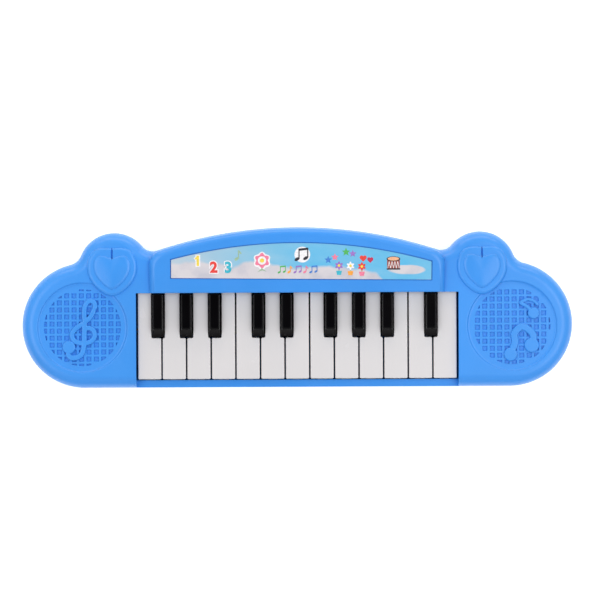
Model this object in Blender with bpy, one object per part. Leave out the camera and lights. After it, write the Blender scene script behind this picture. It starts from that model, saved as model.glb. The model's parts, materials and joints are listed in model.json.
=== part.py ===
"""Toy electronic keyboard: a hollow two-part case, 22 hinged keys, and all that it holds inside.

Lengths are in millimetres until solid() turns them into metres. X runs along the keys, Y to the
rear and Z up. The origin is on the ground under the middle of the case.
"""

import math

import bmesh
import bpy
from mathutils import Vector

MM = 0.001

# The outline of the case from above: a round lobe and a round ear at each end, and an arched rear.
LOBE, LOBE_R = (127.5, -10.5), 37.5
EAR, EAR_R = (109.7, 23.4), 21.6
ARCH, ARCH_R = (0.0, -219.0), 267.0
SIDE_FILLET, REAR_FILLET = 9.0, 8.0

# Heights
FLOOR_BOTTOM, FLOOR_TOP = 1.5, 3.5
SPLIT_LOW, SPLIT_HIGH = 13.7, 14.0
RAIL_TOP, LOBE_TOP = 17.5, 26.0
CONSOLE_FRONT_Y, CONSOLE_FRONT_Z, CONSOLE_SLOPE = 8.7, 29.5, 0.0875

# The opening that the keys stand in
OPENING_X, OPENING_FRONT, OPENING_REAR = 96.4, -43.5, 8.7

# Keys
WHITE_NAMES = ["f1", "g1", "a1", "b1", "c2", "d2", "e2", "f2", "g2", "a2", "b2", "c3", "d3"]
BLACK_KEYS = {  # name: (white keys to its left, distance from the joint between them)
    "fs1": (1, -2.25), "gs1": (2, 0.0), "as1": (3, 2.25), "cs2": (5, -1.1), "ds2": (6, 1.1),
    "fs2": (8, -2.25), "gs2": (9, 0.0), "as2": (10, 2.25), "cs3": (12, -1.1),
}
PITCH = 14.73
WHITE_GAP = 0.9
NOTCH_HALF, NOTCH_FRONT, BLACK_HALF = 3.95, -18.2, 3.45
WHITE_FRONT, KEY_REAR = -42.8, 14.5
KEY_BOTTOM, WHITE_TOP, BLACK_TOP = 15.5, 23.0, 28.3
HINGE_Y, HINGE_Z, ROD_R, CLIP_R = 19.0, 16.0, 1.0, 1.12
WHITE_DOME_Y, BLACK_DOME_Y, DOME_TOP = -8.0, -2.0, 12.0

# Sound grilles: centre, and where the lattice of pockets starts
GRILLES = {-1: ((-128.3, -11.7), (-0.6, -2.0)), 1: ((128.3, -11.7), (-3.1, -0.9))}
GRILLE_R, LATTICE_R, CELL, CELL_PITCH = 26.7, 23.7, 2.6, (4.4, 4.2)
GRILLE_FLOOR, POCKET_FLOOR, MOTIF_TOP = 25.0, 23.8, 26.2

HEART, HEART_SIZE, INNER_HEART_SIZE = (110.4, 21.3), (30.0, 29.4), (21.9, 21.3)

# Speaker, batteries, screws and switch
SPEAKER = (-128.3, -11.7)
BATTERY_X, BATTERY_Z = (107.9, 122.5, 137.1), 10.9
BAY = (100.4, -38.5, 144.6, 17.5)
BAY_ROOF, BAY_WALL = 18.4, 1.4
DOOR_SCREWS = {"front": (126.5, -40.8, -1), "rear": (121.5, 20.8, 1)}  # x, y, outward way
CASE_SCREWS = (  # x, y and the height of the boss that takes it
    (-112, 32, 25.0), (112, 32, 25.0), (-151, -26, 23.2), (151, -26, 23.2), (0, 37, 30.3),
)
BOARD_SCREWS = ((-70, 3.8), (70, 3.8))
SWITCH = (-30.0, 32.0)
FEET = ((-90, -37.5), (90, -37.5), (-90, 22), (90, 22))
FOOT_R, FOOT_SEAT = 5.5, 2.2

BLUE, WHITE, BLACK = (0.065, 0.33, 0.88), (0.82, 0.82, 0.85), (0.006, 0.006, 0.007)
STEEL, GREEN, RED, PAPER = (0.56, 0.57, 0.58), (0.02, 0.18, 0.06), (0.6, 0.02, 0.02), (0.25, 0.6, 0.9)


def clear_scene():
    for obj in list(bpy.data.objects):
        bpy.data.objects.remove(obj, do_unlink=True)


def paint(obj, colour, roughness=0.4, metallic=0.0):
    """Gives the object a Principled material of its own."""
    made = bpy.data.materials.new(obj.name)
    made.use_nodes = True
    shader = made.node_tree.nodes["Principled BSDF"]
    shader.inputs["Base Color"].default_value = (*colour, 1)
    shader.inputs["Roughness"].default_value = roughness
    shader.inputs["Metallic"].default_value = metallic
    obj.data.materials.clear()
    obj.data.materials.append(made)


def smooth(obj, degrees=35):
    """Shades round faces smooth and leaves edges sharper than this crisp."""
    obj.data.shade_smooth()
    obj.data.set_sharp_from_angle(angle=math.radians(degrees))


def place(obj, x, y, z):
    """Moves the object's origin to this point, leaving its shape where it is."""
    origin = (x * MM, y * MM, z * MM)
    for vertex in obj.data.vertices:
        vertex.co = [a - b for a, b in zip(vertex.co, origin)]
    obj.location = origin


# Shapes


def solid(name, points, faces):
    mesh = bpy.data.meshes.new(name)
    mesh.from_pydata([[c * MM for c in p] for p in points], [], faces)
    shape = bmesh.new()
    shape.from_mesh(mesh)
    bmesh.ops.recalc_face_normals(shape, faces=shape.faces)
    shape.to_mesh(mesh)
    shape.free()
    obj = bpy.data.objects.new(name, mesh)
    bpy.context.scene.collection.objects.link(obj)
    return obj


def loft(name, rings):
    """A closed solid through rings that all have the same number of points."""
    count = len(rings[0])
    faces = [tuple(range(count)), tuple(range(len(rings) * count - count, len(rings) * count))]
    for level in range(len(rings) - 1):
        for i in range(count):
            j = (i + 1) % count
            a, b = level * count, level * count + count
            faces.append((a + i, a + j, b + j, b + i))
    return solid(name, [p for ring in rings for p in ring], faces)


def prism(name, outline, low, high):
    return loft(name, [[(x, y, z) for x, y in outline] for z in (low, high)])


def side_prism(name, profile, x_low, x_high):
    """A solid with this outline in Y and Z, from x_low to x_high."""
    return loft(name, [[(x, y, z) for y, z in profile] for x in (x_low, x_high)])


def boxes(name, corners):
    """One mesh of separate boxes, each given as (x0, y0, z0, x1, y1, z1)."""
    points, faces = [], []
    for x0, y0, z0, x1, y1, z1 in corners:
        n = len(points)
        points += [(x, y, z) for z in (z0, z1) for x, y in ((x0, y0), (x1, y0), (x1, y1), (x0, y1))]
        quads = ((3, 2, 1, 0), (4, 5, 6, 7), (0, 1, 5, 4), (1, 2, 6, 5), (2, 3, 7, 6), (3, 0, 4, 7))
        faces += [tuple(n + i for i in quad) for quad in quads]
    return solid(name, points, faces)


def box(name, *corners):
    return boxes(name, [corners])


def circle(centre, radius, count):
    steps = [2 * math.pi * (i + 0.5) / count for i in range(count)]
    return [(centre[0] + radius * math.cos(a), centre[1] + radius * math.sin(a)) for a in steps]


def cylinder(name, centre, radius, low, high, count=16):
    return prism(name, circle(centre, radius, count), low, high)


def stepped(name, centre, steps, count=16):
    """A round solid on a vertical axis through (radius, height) steps, from one end to the other."""
    return loft(name, [[(x, y, z) for x, y in circle(centre, r, count)] for r, z in steps])


def tube(name, path, radius, count=6):
    """A round wire through these points. Each ring's first direction is carried on from the last."""
    points = [Vector(p) for p in path]
    side = Vector((0, 0, 1))
    rings = []
    for i, point in enumerate(points):
        way = (points[min(i + 1, len(points) - 1)] - points[max(i - 1, 0)]).normalized()
        side = (side - way * side.dot(way)).normalized()
        up = way.cross(side)
        turns = [2 * math.pi * k / count for k in range(count)]
        rings.append([point + radius * (math.cos(t) * side + math.sin(t) * up) for t in turns])
    return loft(name, rings)


def boolean(target, tool, operation="DIFFERENCE"):
    """Applies the exact Boolean to the target and removes the tool."""
    modifier = target.modifiers.new("boolean", "BOOLEAN")
    modifier.operation, modifier.solver, modifier.object = operation, "EXACT", tool
    graph = bpy.context.evaluated_depsgraph_get()
    old = target.data
    target.data = bpy.data.meshes.new_from_object(target.evaluated_get(graph))
    target.modifiers.clear()
    bpy.data.meshes.remove(old)
    bpy.data.objects.remove(tool)


def cut(target, *tools):
    for tool in tools:
        boolean(target, tool)


def join(target, *tools):
    for tool in tools:
        boolean(target, tool, "UNION")


# Outlines


def crossing(a, radius_a, b, radius_b):
    """Where two circles meet, on the right of the way from a to b."""
    dx, dy = b[0] - a[0], b[1] - a[1]
    gap = math.hypot(dx, dy)
    along = (gap**2 + radius_a**2 - radius_b**2) / (2 * gap)
    across = math.sqrt(radius_a**2 - along**2)
    return (a[0] + (dx * along + dy * across) / gap, a[1] + (dy * along - dx * across) / gap)


def heading(a, b):
    return math.atan2(b[1] - a[1], b[0] - a[0])


def arc(centre, radius, start, end, count, clockwise=False):
    """Points on an arc between two headings, in radians, without its last one."""
    turn = (start - end if clockwise else end - start) % (2 * math.pi)
    turn = -turn if clockwise else turn
    angles = [start + turn * i / count for i in range(count)]
    return [(centre[0] + radius * math.cos(a), centre[1] + radius * math.sin(a)) for a in angles]


def mirrored(half):
    """Closes a right half that ends on the middle line."""
    return half + [(-x, y) for x, y in reversed(half[:-1])]


def case_outline(inset):
    """The case from above, drawn in by this much. Every inset has the same number of points."""
    side = crossing(LOBE, LOBE_R + SIDE_FILLET, EAR, EAR_R + SIDE_FILLET)
    rear = crossing(EAR, EAR_R + REAR_FILLET, ARCH, ARCH_R + REAR_FILLET)
    half = arc(LOBE, LOBE_R - inset, math.radians(-90), heading(LOBE, side), 13)
    half += arc(side, SIDE_FILLET + inset, heading(side, LOBE), heading(side, EAR), 2, True)
    half += arc(EAR, EAR_R - inset, heading(EAR, side), heading(EAR, rear), 8)
    half += arc(rear, REAR_FILLET + inset, heading(rear, EAR), heading(rear, ARCH), 2, True)
    half += arc(ARCH, ARCH_R - inset, heading(ARCH, rear), math.radians(90), 4)
    return mirrored(half + [(ARCH[0], ARCH[1] + ARCH_R - inset)])


def console_outline(side, front, inset, corner=9.0):
    """The raised console from above: straight front and sides, round rear corners, arched rear."""
    radius = ARCH_R - inset
    x = side - corner
    centre = (x, ARCH[1] + math.sqrt((radius - corner) ** 2 - x**2))
    half = [(side, front)] + arc(centre, corner, 0, heading(ARCH, centre), 5)
    half += arc(ARCH, radius, heading(ARCH, centre), math.radians(90), 5)
    return mirrored(half + [(0, ARCH[1] + radius)])


def console_height(y):
    return CONSOLE_FRONT_Z + CONSOLE_SLOPE * (y - CONSOLE_FRONT_Y)


def heart_outline(centre, size, count=22):
    turns = [2 * math.pi * i / count for i in range(count)]
    raw = [
        (
            16 * math.sin(t) ** 3,
            13 * math.cos(t) - 3.8 * math.cos(2 * t) - 1.4 * math.cos(3 * t) - 0.6 * math.cos(4 * t),
        )
        for t in turns
    ]
    low, high = min(y for _, y in raw), max(y for _, y in raw)
    return [
        (
            centre[0] + x / 32 * size[0],
            centre[1] + ((y - low) / (high - low) - 0.5) * size[1],
        )
        for x, y in raw
    ]


def ribbon(path, half_width):
    """The outline of a band of even width along a path."""
    left, right = [], []
    for i, (x, y) in enumerate(path):
        a, b = path[max(i - 1, 0)], path[min(i + 1, len(path) - 1)]
        length = math.dist(a, b)
        nx, ny = (a[1] - b[1]) / length * half_width, (b[0] - a[0]) / length * half_width
        left.append((x + nx, y + ny))
        right.append((x - nx, y - ny))
    return left + right[::-1]


def shifted(path, centre):
    return [(x + centre[0], y + centre[1]) for x, y in path]


# The case


def cavity(name):
    """The hollow of the upper case, leaving walls beside the keys and a rail in front of them."""
    levels = ((SPLIT_LOW, 2.2), (20.5, 2.5), (22.3, 3.6), (23.8, 6.5))
    hollow = loft(name, [[(x, y, z) for x, y in case_outline(inset)] for z, inset in levels])
    for side in (-1, 1):
        x0, x1 = sorted((side * OPENING_X, side * (OPENING_X + 2)))
        cut(hollow, box("wall", x0, -50, SPLIT_HIGH, x1, OPENING_REAR + 2, 25))
    cut(hollow, box("rail", -OPENING_X - 1, -50, SPLIT_HIGH, OPENING_X + 1, OPENING_FRONT, RAIL_TOP + 3))
    return hollow


def lattice(side):
    """The square pockets that stand in for a grille's holes, as one cutter."""
    (cx, cy), (first_x, first_y) = GRILLES[side]
    cells = []
    for column in range(-6, 7):
        for row in range(-6, 7):
            x, y = first_x + column * CELL_PITCH[0], first_y + row * CELL_PITCH[1]
            if math.hypot(abs(x) + CELL / 2, abs(y) + CELL / 2) > LATTICE_R or under_motif(x, y, side):
                continue
            x0, y0 = cx + x - CELL / 2, cy + y - CELL / 2
            cells.append((x0, y0, POCKET_FLOOR, x0 + CELL, y0 + CELL, GRILLE_FLOOR + 1))
    return boxes("pockets", cells)


CLEF_BANDS = (
    ((1.3, 3.6), (1.2, 11.1), (2.9, 15.0), (5.4, 16.0), (7.5, 14.1), (7.2, 10.5)),
    ((7.3, 11.5), (4.8, 6.3), (0.6, 2.7), (-4.0, -0.6), (-6.3, -4.2), (-4.8, -7.8), (-0.6, -9.3),
     (4.2, -8.7), (7.2, -5.7), (6.6, -1.8), (3.6, -0.2), (0.9, -1.2)),
    ((1.4, 5.0), (1.2, -2.1), (0.9, -9.9), (0.0, -14.7), (-2.4, -17.4), (-6.6, -18.0), (-9.6, -15.0)),
)
CLEF_DISCS = ((-8.1, -11.7, 3.9),)
NOTE_BANDS = (
    ((-0.2, -15.0), (1.7, -9.5), (1.2, -5.1), (3.8, -1.6), (6.4, -0.6), (9.4, -2.2), (12.4, -5.4),
     (12.6, -9.5)),
    ((11.8, 8.5), (8.6, 11.6), (4.6, 13.7)),
    ((4.3, 13.4), (9.0, 15.6), (13.0, 14.6), (15.6, 12.0)),
)
NOTE_DISCS = ((-1.0, -17.1, 4.0), (11.6, -11.7, 4.4), (12.8, 7.5, 3.5))


def under_motif(x, y, side):
    """Whether the motif hides a pocket here."""
    bands, discs = (CLEF_BANDS, CLEF_DISCS) if side < 0 else (NOTE_BANDS, NOTE_DISCS)
    near = min(to_segment((x, y), a, b) for band in bands for a, b in zip(band, band[1:]))
    return near < 1.0 or any(math.dist((x, y), disc[:2]) < disc[2] - 0.5 for disc in discs)


def to_segment(point, a, b):
    """How far a point is from the straight line between a and b."""
    dx, dy = b[0] - a[0], b[1] - a[1]
    share = ((point[0] - a[0]) * dx + (point[1] - a[1]) * dy) / (dx * dx + dy * dy)
    share = min(max(share, 0), 1)
    return math.dist(point, (a[0] + share * dx, a[1] + share * dy))


def motif(shell, side):
    """Raises a treble clef on the left grille, and a beamed pair and a single note on the right."""
    centre = GRILLES[side][0]
    bands, discs = (CLEF_BANDS, CLEF_DISCS) if side < 0 else (NOTE_BANDS, NOTE_DISCS)
    widths = (1.3, 1.35, 1.5) if side < 0 else (2.1, 1.1, 0.95)
    for i, (path, half_width) in enumerate(zip(bands, widths)):
        top = MOTIF_TOP + 0.03 * i
        join(shell, prism("band", ribbon(shifted(path, centre), half_width), 23.5 - 0.03 * i, top))
    for i, (x, y, radius) in enumerate(discs):
        disc = circle((centre[0] + x, centre[1] + y), radius, 12)
        join(shell, prism("disc", disc, 23.3 - 0.04 * i, MOTIF_TOP + 0.15 + 0.04 * i))


def heart(shell, side):
    """A broad raised heart with a smaller one on top of it."""
    tiers = (
        (HEART_SIZE, 0.0, ((24.6, 1.0), (26.5, 0.98), (27.2, 0.9))),
        (INNER_HEART_SIZE, -0.5, ((26.4, 1.0), (27.7, 0.96), (28.2, 0.85))),
    )
    for size, back, steps in tiers:
        centre = (side * HEART[0], HEART[1] + back)
        rings = []
        for z, scale in steps:
            outline = heart_outline(centre, [length * scale for length in size])
            rings.append([(x, y, z) for x, y in outline])
        join(shell, loft("heart", rings))


def top_shell():
    levels = ((SPLIT_HIGH, 0), (21.4, 0.5), (24.2, 1.9), (25.6, 4.1), (LOBE_TOP, 6.4))
    shell = loft("top_shell", [[(x, y, z) for x, y in case_outline(inset)] for z, inset in levels])
    rings = [[(x, y, 20.0) for x, y in console_outline(88.7, 8.2, 0.7)]]
    edge = ((3.6, 88.2, 8.2, 1.0), (1.6, 87.2, 8.4, 1.9), (0.5, 86.2, 8.9, 3.2), (0, 85.0, 9.6, 5.0))
    for drop, side, front, inset in edge:
        rings.append([(x, y, console_height(y) - drop) for x, y in console_outline(side, front, inset)])
    join(shell, loft("console", rings))
    cut(shell, cavity("cavity"))
    inside = console_outline(86.3, OPENING_REAR + 2.2, 3.2, 7.0)
    cut(shell, loft("console_cavity", [
        [(x, y, 21.0) for x, y in inside],
        [(x, y, console_height(y) - 2.6) for x, y in console_outline(84.8, OPENING_REAR + 2.2, 5.0, 6.0)],
    ]))
    cut(
        shell,
        box("opening", -OPENING_X, OPENING_FRONT, 10, OPENING_X, OPENING_REAR, 35),
        box("rail_cut", -OPENING_X, -60, RAIL_TOP, OPENING_X, OPENING_FRONT + 1, 35),
    )
    for side in (-1, 1):
        centre = GRILLES[side][0]
        join(shell, cylinder("backing", centre, 27.4, 22.2, 24.2, 20))
        cut(shell, cylinder("recess", centre, GRILLE_R, GRILLE_FLOOR, 40, 32), lattice(side))
        motif(shell, side)
        heart(shell, side)
    for x, y, top in CASE_SCREWS:
        join(shell, cylinder("boss", (x, y), 3.6, SPLIT_HIGH, top, 10))
        cut(shell, cylinder("pilot", (x, y), 1.2, 13, 21, 8))
    for x in rod_supports():
        top = 25.0 if abs(x) > 88 else 29.0
        join(shell, box("hold_down", x - 0.8, 17.5, HINGE_Z + ROD_R + 0.3, x + 0.8, 20.5, top))
    smooth(shell, 30)
    paint(shell, BLUE, 0.32)


def bottom_shell():
    levels = ((FLOOR_BOTTOM, 4.0), (2.6, 1.7), (5.0, 0.5), (SPLIT_LOW, 0))
    shell = loft("bottom_shell", [[(x, y, z) for x, y in case_outline(inset)] for z, inset in levels])
    lip = prism("lip", case_outline(2.5), 12.0, 15.5)
    cut(lip, box("lip_gap", -100, -50, 11, 100, -40, 17))
    join(shell, lip)
    hollow = ((FLOOR_TOP, 3.0), (10.8, 2.2), (12.4, 3.9), (17.0, 3.9))
    cut(shell, loft("hollow", [[(x, y, z) for x, y in case_outline(inset)] for z, inset in hollow]))
    cut(shell, box("front_wall", -97.5, -45.9, 10.0, 97.5, -40, 14))
    x0, y0, x1, y1 = BAY
    wall = BAY_WALL
    join(shell, prism("bay", chamfered(x0 - wall, y0 - wall, x1 + wall, y1 + wall, 3.6), 2.5, BAY_ROOF + 1.5))
    for x, y, _ in DOOR_SCREWS.values():
        join(shell, box("door_boss", x - 5.2, y - 2.9, 2.7, x + 5.2, y + 2.9, 11.9))
    cut(shell, prism("bay_hollow", chamfered(x0, y0, x1, y1, 3.0), 0, BAY_ROOF))
    for x, y, way in DOOR_SCREWS.values():
        low, high = sorted((y - way * 3.5, y + way * 2.5))
        cut(
            shell,
            box("lug_seat", x - 4.4, low, 0, x + 4.4, high, FLOOR_TOP - 0.1),
            cylinder("door_pilot", (x, y), 1.2, 0, 10.5, 8),
        )
    for x, y in ((BATTERY_X[0], y1 - 0.3), (BATTERY_X[2], y0 + 0.3)):
        cut(shell, box("tab_slit", x - 2.2, y - 0.5, BAY_ROOF - 0.5, x + 2.2, y + 0.5, BAY_ROOF + 2))
    ring = cylinder("speaker_ring", SPEAKER, 22.0, 2.6, 9.0, 24)
    cut(ring, cylinder("ring_hole", SPEAKER, 20.5, 3.0, 10, 24))
    join(shell, ring)
    cut(shell, boxes("sound_slots", sound_slots()))
    for x, y, _ in CASE_SCREWS:
        join(shell, cylinder("post", (x, y), 4.6, 2.6, SPLIT_LOW - 0.1, 10))
        cut(shell, cylinder("head_hole", (x, y), 3.3, 0, 9, 12))
        cut(shell, cylinder("shank_hole", (x, y), 1.6, 5, 16, 8))
    for x, y in BOARD_SCREWS:
        join(shell, cylinder("board_post", (x, y), 2.6, 2.6, 6.5, 8))
        cut(shell, cylinder("board_pilot", (x, y), 1.1, 4, 8, 8))
    for x in (-85, -35, 35, 85):
        join(shell, box("board_rest", x - 0.8, -15, 2.6, x + 0.8, 5, 6.5))
    for x in rod_supports():
        seat = arc((HINGE_Y, HINGE_Z), CLIP_R, 0, math.pi, 5, True) + [(HINGE_Y - CLIP_R, HINGE_Z)]
        profile = [(21.5, HINGE_Z), *seat, (16.5, HINGE_Z), (16.5, 2.6), (21.5, 2.6)]
        join(shell, side_prism("saddle", profile, x - 0.8, x + 0.8))
    x, y = SWITCH
    cut(
        shell,
        box("switch_recess", x - 8, y - 4, 0, x + 8, y + 4, 2.3),
        box("switch_slot", x - 4.3, y - 1.4, 0, x + 4.3, y + 1.4, 6),
    )
    for foot in FEET:
        cut(shell, cylinder("foot_seat", foot, FOOT_R + 0.3, 0, FOOT_SEAT, 14))
    smooth(shell, 30)
    paint(shell, BLUE, 0.4)


def rubber_feet():
    steps = ((4.6, 0), (FOOT_R, 0.6), (FOOT_R, FOOT_SEAT - 0.3))
    for number, centre in enumerate(FEET, 1):
        foot = stepped(f"rubber_foot_{number}", centre, steps, 14)
        paint(foot, (0.03, 0.03, 0.032), 0.7)


def chamfered(x0, y0, x1, y1, corner):
    """A rectangle with its two right-hand corners cut off."""
    return [(x0, y0), (x1 - corner, y0), (x1, y0 + corner), (x1, y1 - corner), (x1 - corner, y1), (x0, y1)]


def sound_slots():
    slots = []
    for row in range(-3, 4):
        y = SPEAKER[1] + row * 4.6
        half = math.sqrt(17.5**2 - (row * 4.6) ** 2)
        slots.append((SPEAKER[0] - half, y - 1.0, 0, SPEAKER[0] + half, y + 1.0, 5))
    return slots


# Keys


def joint_x(index):
    """Where the white key of this index starts."""
    return (index - len(WHITE_NAMES) / 2) * PITCH


def black_x(name):
    index, offset = BLACK_KEYS[name]
    return joint_x(index) + offset


def narrow_part(index):
    """The sides of a white key's rear part, beside the black keys' notches."""
    sides = [joint_x(index) + WHITE_GAP / 2, joint_x(index + 1) - WHITE_GAP / 2]
    for name in BLACK_KEYS:
        if BLACK_KEYS[name][0] == index:
            sides[0] = black_x(name) + NOTCH_HALF
        if BLACK_KEYS[name][0] == index + 1:
            sides[1] = black_x(name) - NOTCH_HALF
    return sides


def key_centres():
    """Where the rear end of every key is, from left to right."""
    centres = [sum(narrow_part(i)) / 2 for i in range(len(WHITE_NAMES))]
    return sorted(centres + [black_x(name) for name in BLACK_KEYS])


def rod_supports():
    """Both ends of the hinge rod, and the free places between the keys' clips where ribs hold it."""
    centres = key_centres()
    between = [(a + b) / 2 for a, b in zip(centres, centres[1:])]
    chosen = [min(between, key=lambda x: abs(x - wanted)) for wanted in (-66, -36, 7, 37, 66)]
    return [-96.8, *chosen, 96.8]


def hinge_clip(x):
    """The arm and the open ring, at the rear of a key, that snap over the hinge rod."""
    start, end = math.radians(-60), math.radians(240)
    ring = arc((HINGE_Y, HINGE_Z), 2.5, start, end, 6) + [polar(2.5, end)]
    ring += reversed(arc((HINGE_Y, HINGE_Z), CLIP_R, start, end, 6) + [polar(CLIP_R, end)])
    clip = side_prism("clip", ring, x - 2.5, x + 2.5)
    join(clip, box("arm", x - 2.4, 13.0, 15.7, x + 2.4, 17.4, 18.2))
    return clip


def polar(radius, angle):
    return (HINGE_Y + radius * math.cos(angle), HINGE_Z + radius * math.sin(angle))


def finish_key(key, x, dome_y, colour, roughness):
    plunger_top = WHITE_TOP - 1.0
    join(
        key,
        box("plunger", x - 1.3, dome_y - 1.3, DOME_TOP + 0.3, x + 1.3, dome_y + 1.3, plunger_top),
        hinge_clip(x),
    )
    place(key, x, HINGE_Y, HINGE_Z)
    paint(key, colour, roughness)


def white_key(index):
    name = "white_key_" + WHITE_NAMES[index]
    left, right = joint_x(index) + WHITE_GAP / 2, joint_x(index + 1) - WHITE_GAP / 2
    rear_left, rear_right = narrow_part(index)
    rings = []
    for z, inset in ((KEY_BOTTOM, 0), (WHITE_TOP - 0.5, 0), (WHITE_TOP, 0.5)):
        rings.append([(x, y, z) for x, y in key_outline(left, right, rear_left, rear_right, inset)])
    key = loft(name, rings)
    hollow = key_outline(left, right, rear_left, rear_right, 1.1, rear=7.0)
    cut(key, prism("hollow", hollow, 14, WHITE_TOP - 1.6))
    middle = (left + right) / 2
    join(
        key,
        box("stop", middle - 3, WHITE_FRONT + 0.05, 12.6, middle + 3, WHITE_FRONT + 1.0, 17),
        box("hook", middle - 2.9, WHITE_FRONT - 2.2, 12.7, middle + 2.9, WHITE_FRONT + 0.5, 13.6),
    )
    finish_key(key, (rear_left + rear_right) / 2, WHITE_DOME_Y, WHITE, 0.28)


def key_outline(left, right, rear_left, rear_right, inset, rear=KEY_REAR):
    """A white key from above, with a step wherever a black key's notch starts."""
    front, step, rear = WHITE_FRONT + inset, NOTCH_FRONT - inset, rear - inset
    left, right, rear_left, rear_right = left + inset, right - inset, rear_left + inset, rear_right - inset
    outline = [(left, front), (right, front)]
    if right - rear_right > 0.01:
        outline += [(right, step), (rear_right, step)]
    outline += [(rear_right, rear), (rear_left, rear)]
    if rear_left - left > 0.01:
        outline += [(rear_left, step), (left, step)]
    return outline


def tapered_block(name, x, levels):
    """A block centred on x through levels of height, half width, front and rear."""
    rings = [[(x - w, a, z), (x + w, a, z), (x + w, b, z), (x - w, b, z)] for z, w, a, b in levels]
    return loft(name, rings)


def black_key(name):
    x = black_x(name)
    levels = (
        (KEY_BOTTOM, BLACK_HALF, -17.6, 8.2), (23.0, BLACK_HALF, -17.6, 8.2),
        (27.6, BLACK_HALF - 0.45, -12.9, 8.15), (BLACK_TOP, BLACK_HALF - 1.0, -12.1, 7.8),
    )
    key = tapered_block("black_key_" + name, x, levels)
    stem = BLACK_HALF - 0.1
    join(key, box("stem", x - stem, 6.0, KEY_BOTTOM + 0.1, x + stem, KEY_REAR, 23.4))
    inner = BLACK_HALF - 1.2
    hollow = ((14, inner, -16.0, 5.0), (22.4, inner, -16.0, 5.0), (26.4, inner - 0.4, -11.9, 4.9))
    cut(key, tapered_block("hollow", x, hollow))
    join(key, box("post", x - 1.25, BLACK_DOME_Y - 1.25, 21.0, x + 1.25, BLACK_DOME_Y + 1.25, 26.5))
    finish_key(key, x, BLACK_DOME_Y, BLACK, 0.2)


# What the case holds


def hinge_rod():
    rod = side_prism("key_hinge_rod", circle((HINGE_Y, HINGE_Z), ROD_R, 16), -97.8, 97.8)
    smooth(rod)
    paint(rod, STEEL, 0.25, 1)


def electronics():
    board = box("key_circuit_board", -92, -16, 6.8, 92, 6, 8.4)
    for x, y in BOARD_SCREWS:
        cut(board, cylinder("hole", (x, y), 1.2, 5, 10, 8))
    paint(board, GREEN, 0.45)

    strip = box("key_contact_strip", -91, -11.6, 8.7, 91, 1.6, 9.9)
    whites = [(sum(narrow_part(i)) / 2, WHITE_DOME_Y) for i in range(len(WHITE_NAMES))]
    for centre in whites + [(black_x(name), BLACK_DOME_Y) for name in BLACK_KEYS]:
        join(strip, stepped("dome", centre, ((3.2, 9.3), (1.7, DOME_TOP)), 8))
    paint(strip, (0.5, 0.5, 0.5), 0.6)

    chip = stepped("sound_chip", (24, -13.9), ((1.9, 8.7), (1.8, 9.3), (1.0, 9.9)), 16)
    smooth(chip, 50)
    paint(chip, BLACK, 0.3)
    can = stepped("capacitor", (-24, -13.9), ((1.6, 8.7), (1.75, 9.2), (1.75, 12.4), (1.5, 12.7)), 12)
    smooth(can)
    paint(can, STEEL, 0.3, 0.8)


def speaker():
    outer = ((20.0, 3.8), (20.0, 5.0), (18.6, 5.6), (11.0, 11.6), (11.0, 12.7))
    frame = stepped("speaker_frame", SPEAKER, outer, 24)
    inner = ((17.6, 3.0), (17.6, 5.2), (9.6, 11.4), (6.0, 11.41), (6.0, 14.0))
    cut(frame, stepped("inside", SPEAKER, inner, 24))
    paint(frame, STEEL, 0.4, 0.8)
    cone = stepped("speaker_cone", SPEAKER, ((17.2, 4.0), (17.2, 4.6), (6.2, 10.6), (5.0, 10.6)), 20)
    cut(cone, stepped("front", SPEAKER, ((16.4, 3.0), (16.4, 4.3), (6.0, 9.9), (3.0, 8.8)), 20))
    paint(cone, (0.03, 0.03, 0.03), 0.8)
    magnet = stepped("speaker_magnet", SPEAKER, ((10.6, 13.0), (11.0, 13.4), (11.0, 18.6), (10.6, 19.0)), 20)
    paint(magnet, (0.08, 0.08, 0.09), 0.5, 0.5)
    for part in (frame, cone, magnet):
        smooth(part, 40)


def battery_cells():
    for number, x in enumerate(BATTERY_X, 1):
        way = -1 if number == 2 else 1
        start = -33.7 if way > 0 else 12.7
        steps = ((6.3, 0), (7.1, 0.6), (7.1, 48.6), (6.5, 49.2), (2.75, 49.2), (2.75, 50.4))
        rings = []
        for radius, along in steps:
            rings.append([(a, start + way * along, z) for a, z in circle((x, BATTERY_Z), radius, 16)])
        cell = loft(f"battery_cell_{number}", rings)
        smooth(cell)
        paint(cell, (0.55, 0.35, 0.06), 0.3, 0.6)


def spring_coil(x, y, way):
    """A coil that starts in the contact plate and presses on a cell's flat end."""
    path = []
    for i in range(17):
        turn, radius = 2 * math.pi * i / 8, 3.6 - 1.4 * i / 16
        along = -0.1 if i < 2 else 3.6 * (i - 1) / 15
        path.append((x + radius * math.cos(turn), y + way * along, BATTERY_Z + radius * math.sin(turn)))
    return tube("coil", path, 0.35, 4)


def battery_contacts():
    rear, front = BAY[3] - 0.5, BAY[1] + 0.5
    a, b, c = BATTERY_X
    plates = {
        "battery_contact_plus": ((a, a), rear, 0.4, None, a),
        "battery_link_front": ((a, b), front, -0.4, a, None),
        "battery_link_rear": ((b, c), rear, 0.4, b, None),
        "battery_contact_minus": ((c, c), front, -0.4, c, c),
    }
    for name, ((left, right), y, depth, coil_x, tab_x) in plates.items():
        y0, y1 = sorted((y, y + depth))
        plate = box(name, left - 4.2, y0, 5.2, right + 4.2, y1, 17.2)
        if coil_x is not None:
            join(plate, spring_coil(coil_x, y, -1 if depth > 0 else 1))
        if tab_x is not None:
            join(plate, box("tab", tab_x - 1.8, y0 + 0.02, 16.5, tab_x + 1.8, y1 - 0.02, 21.4))
        paint(plate, STEEL, 0.3, 1)


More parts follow.
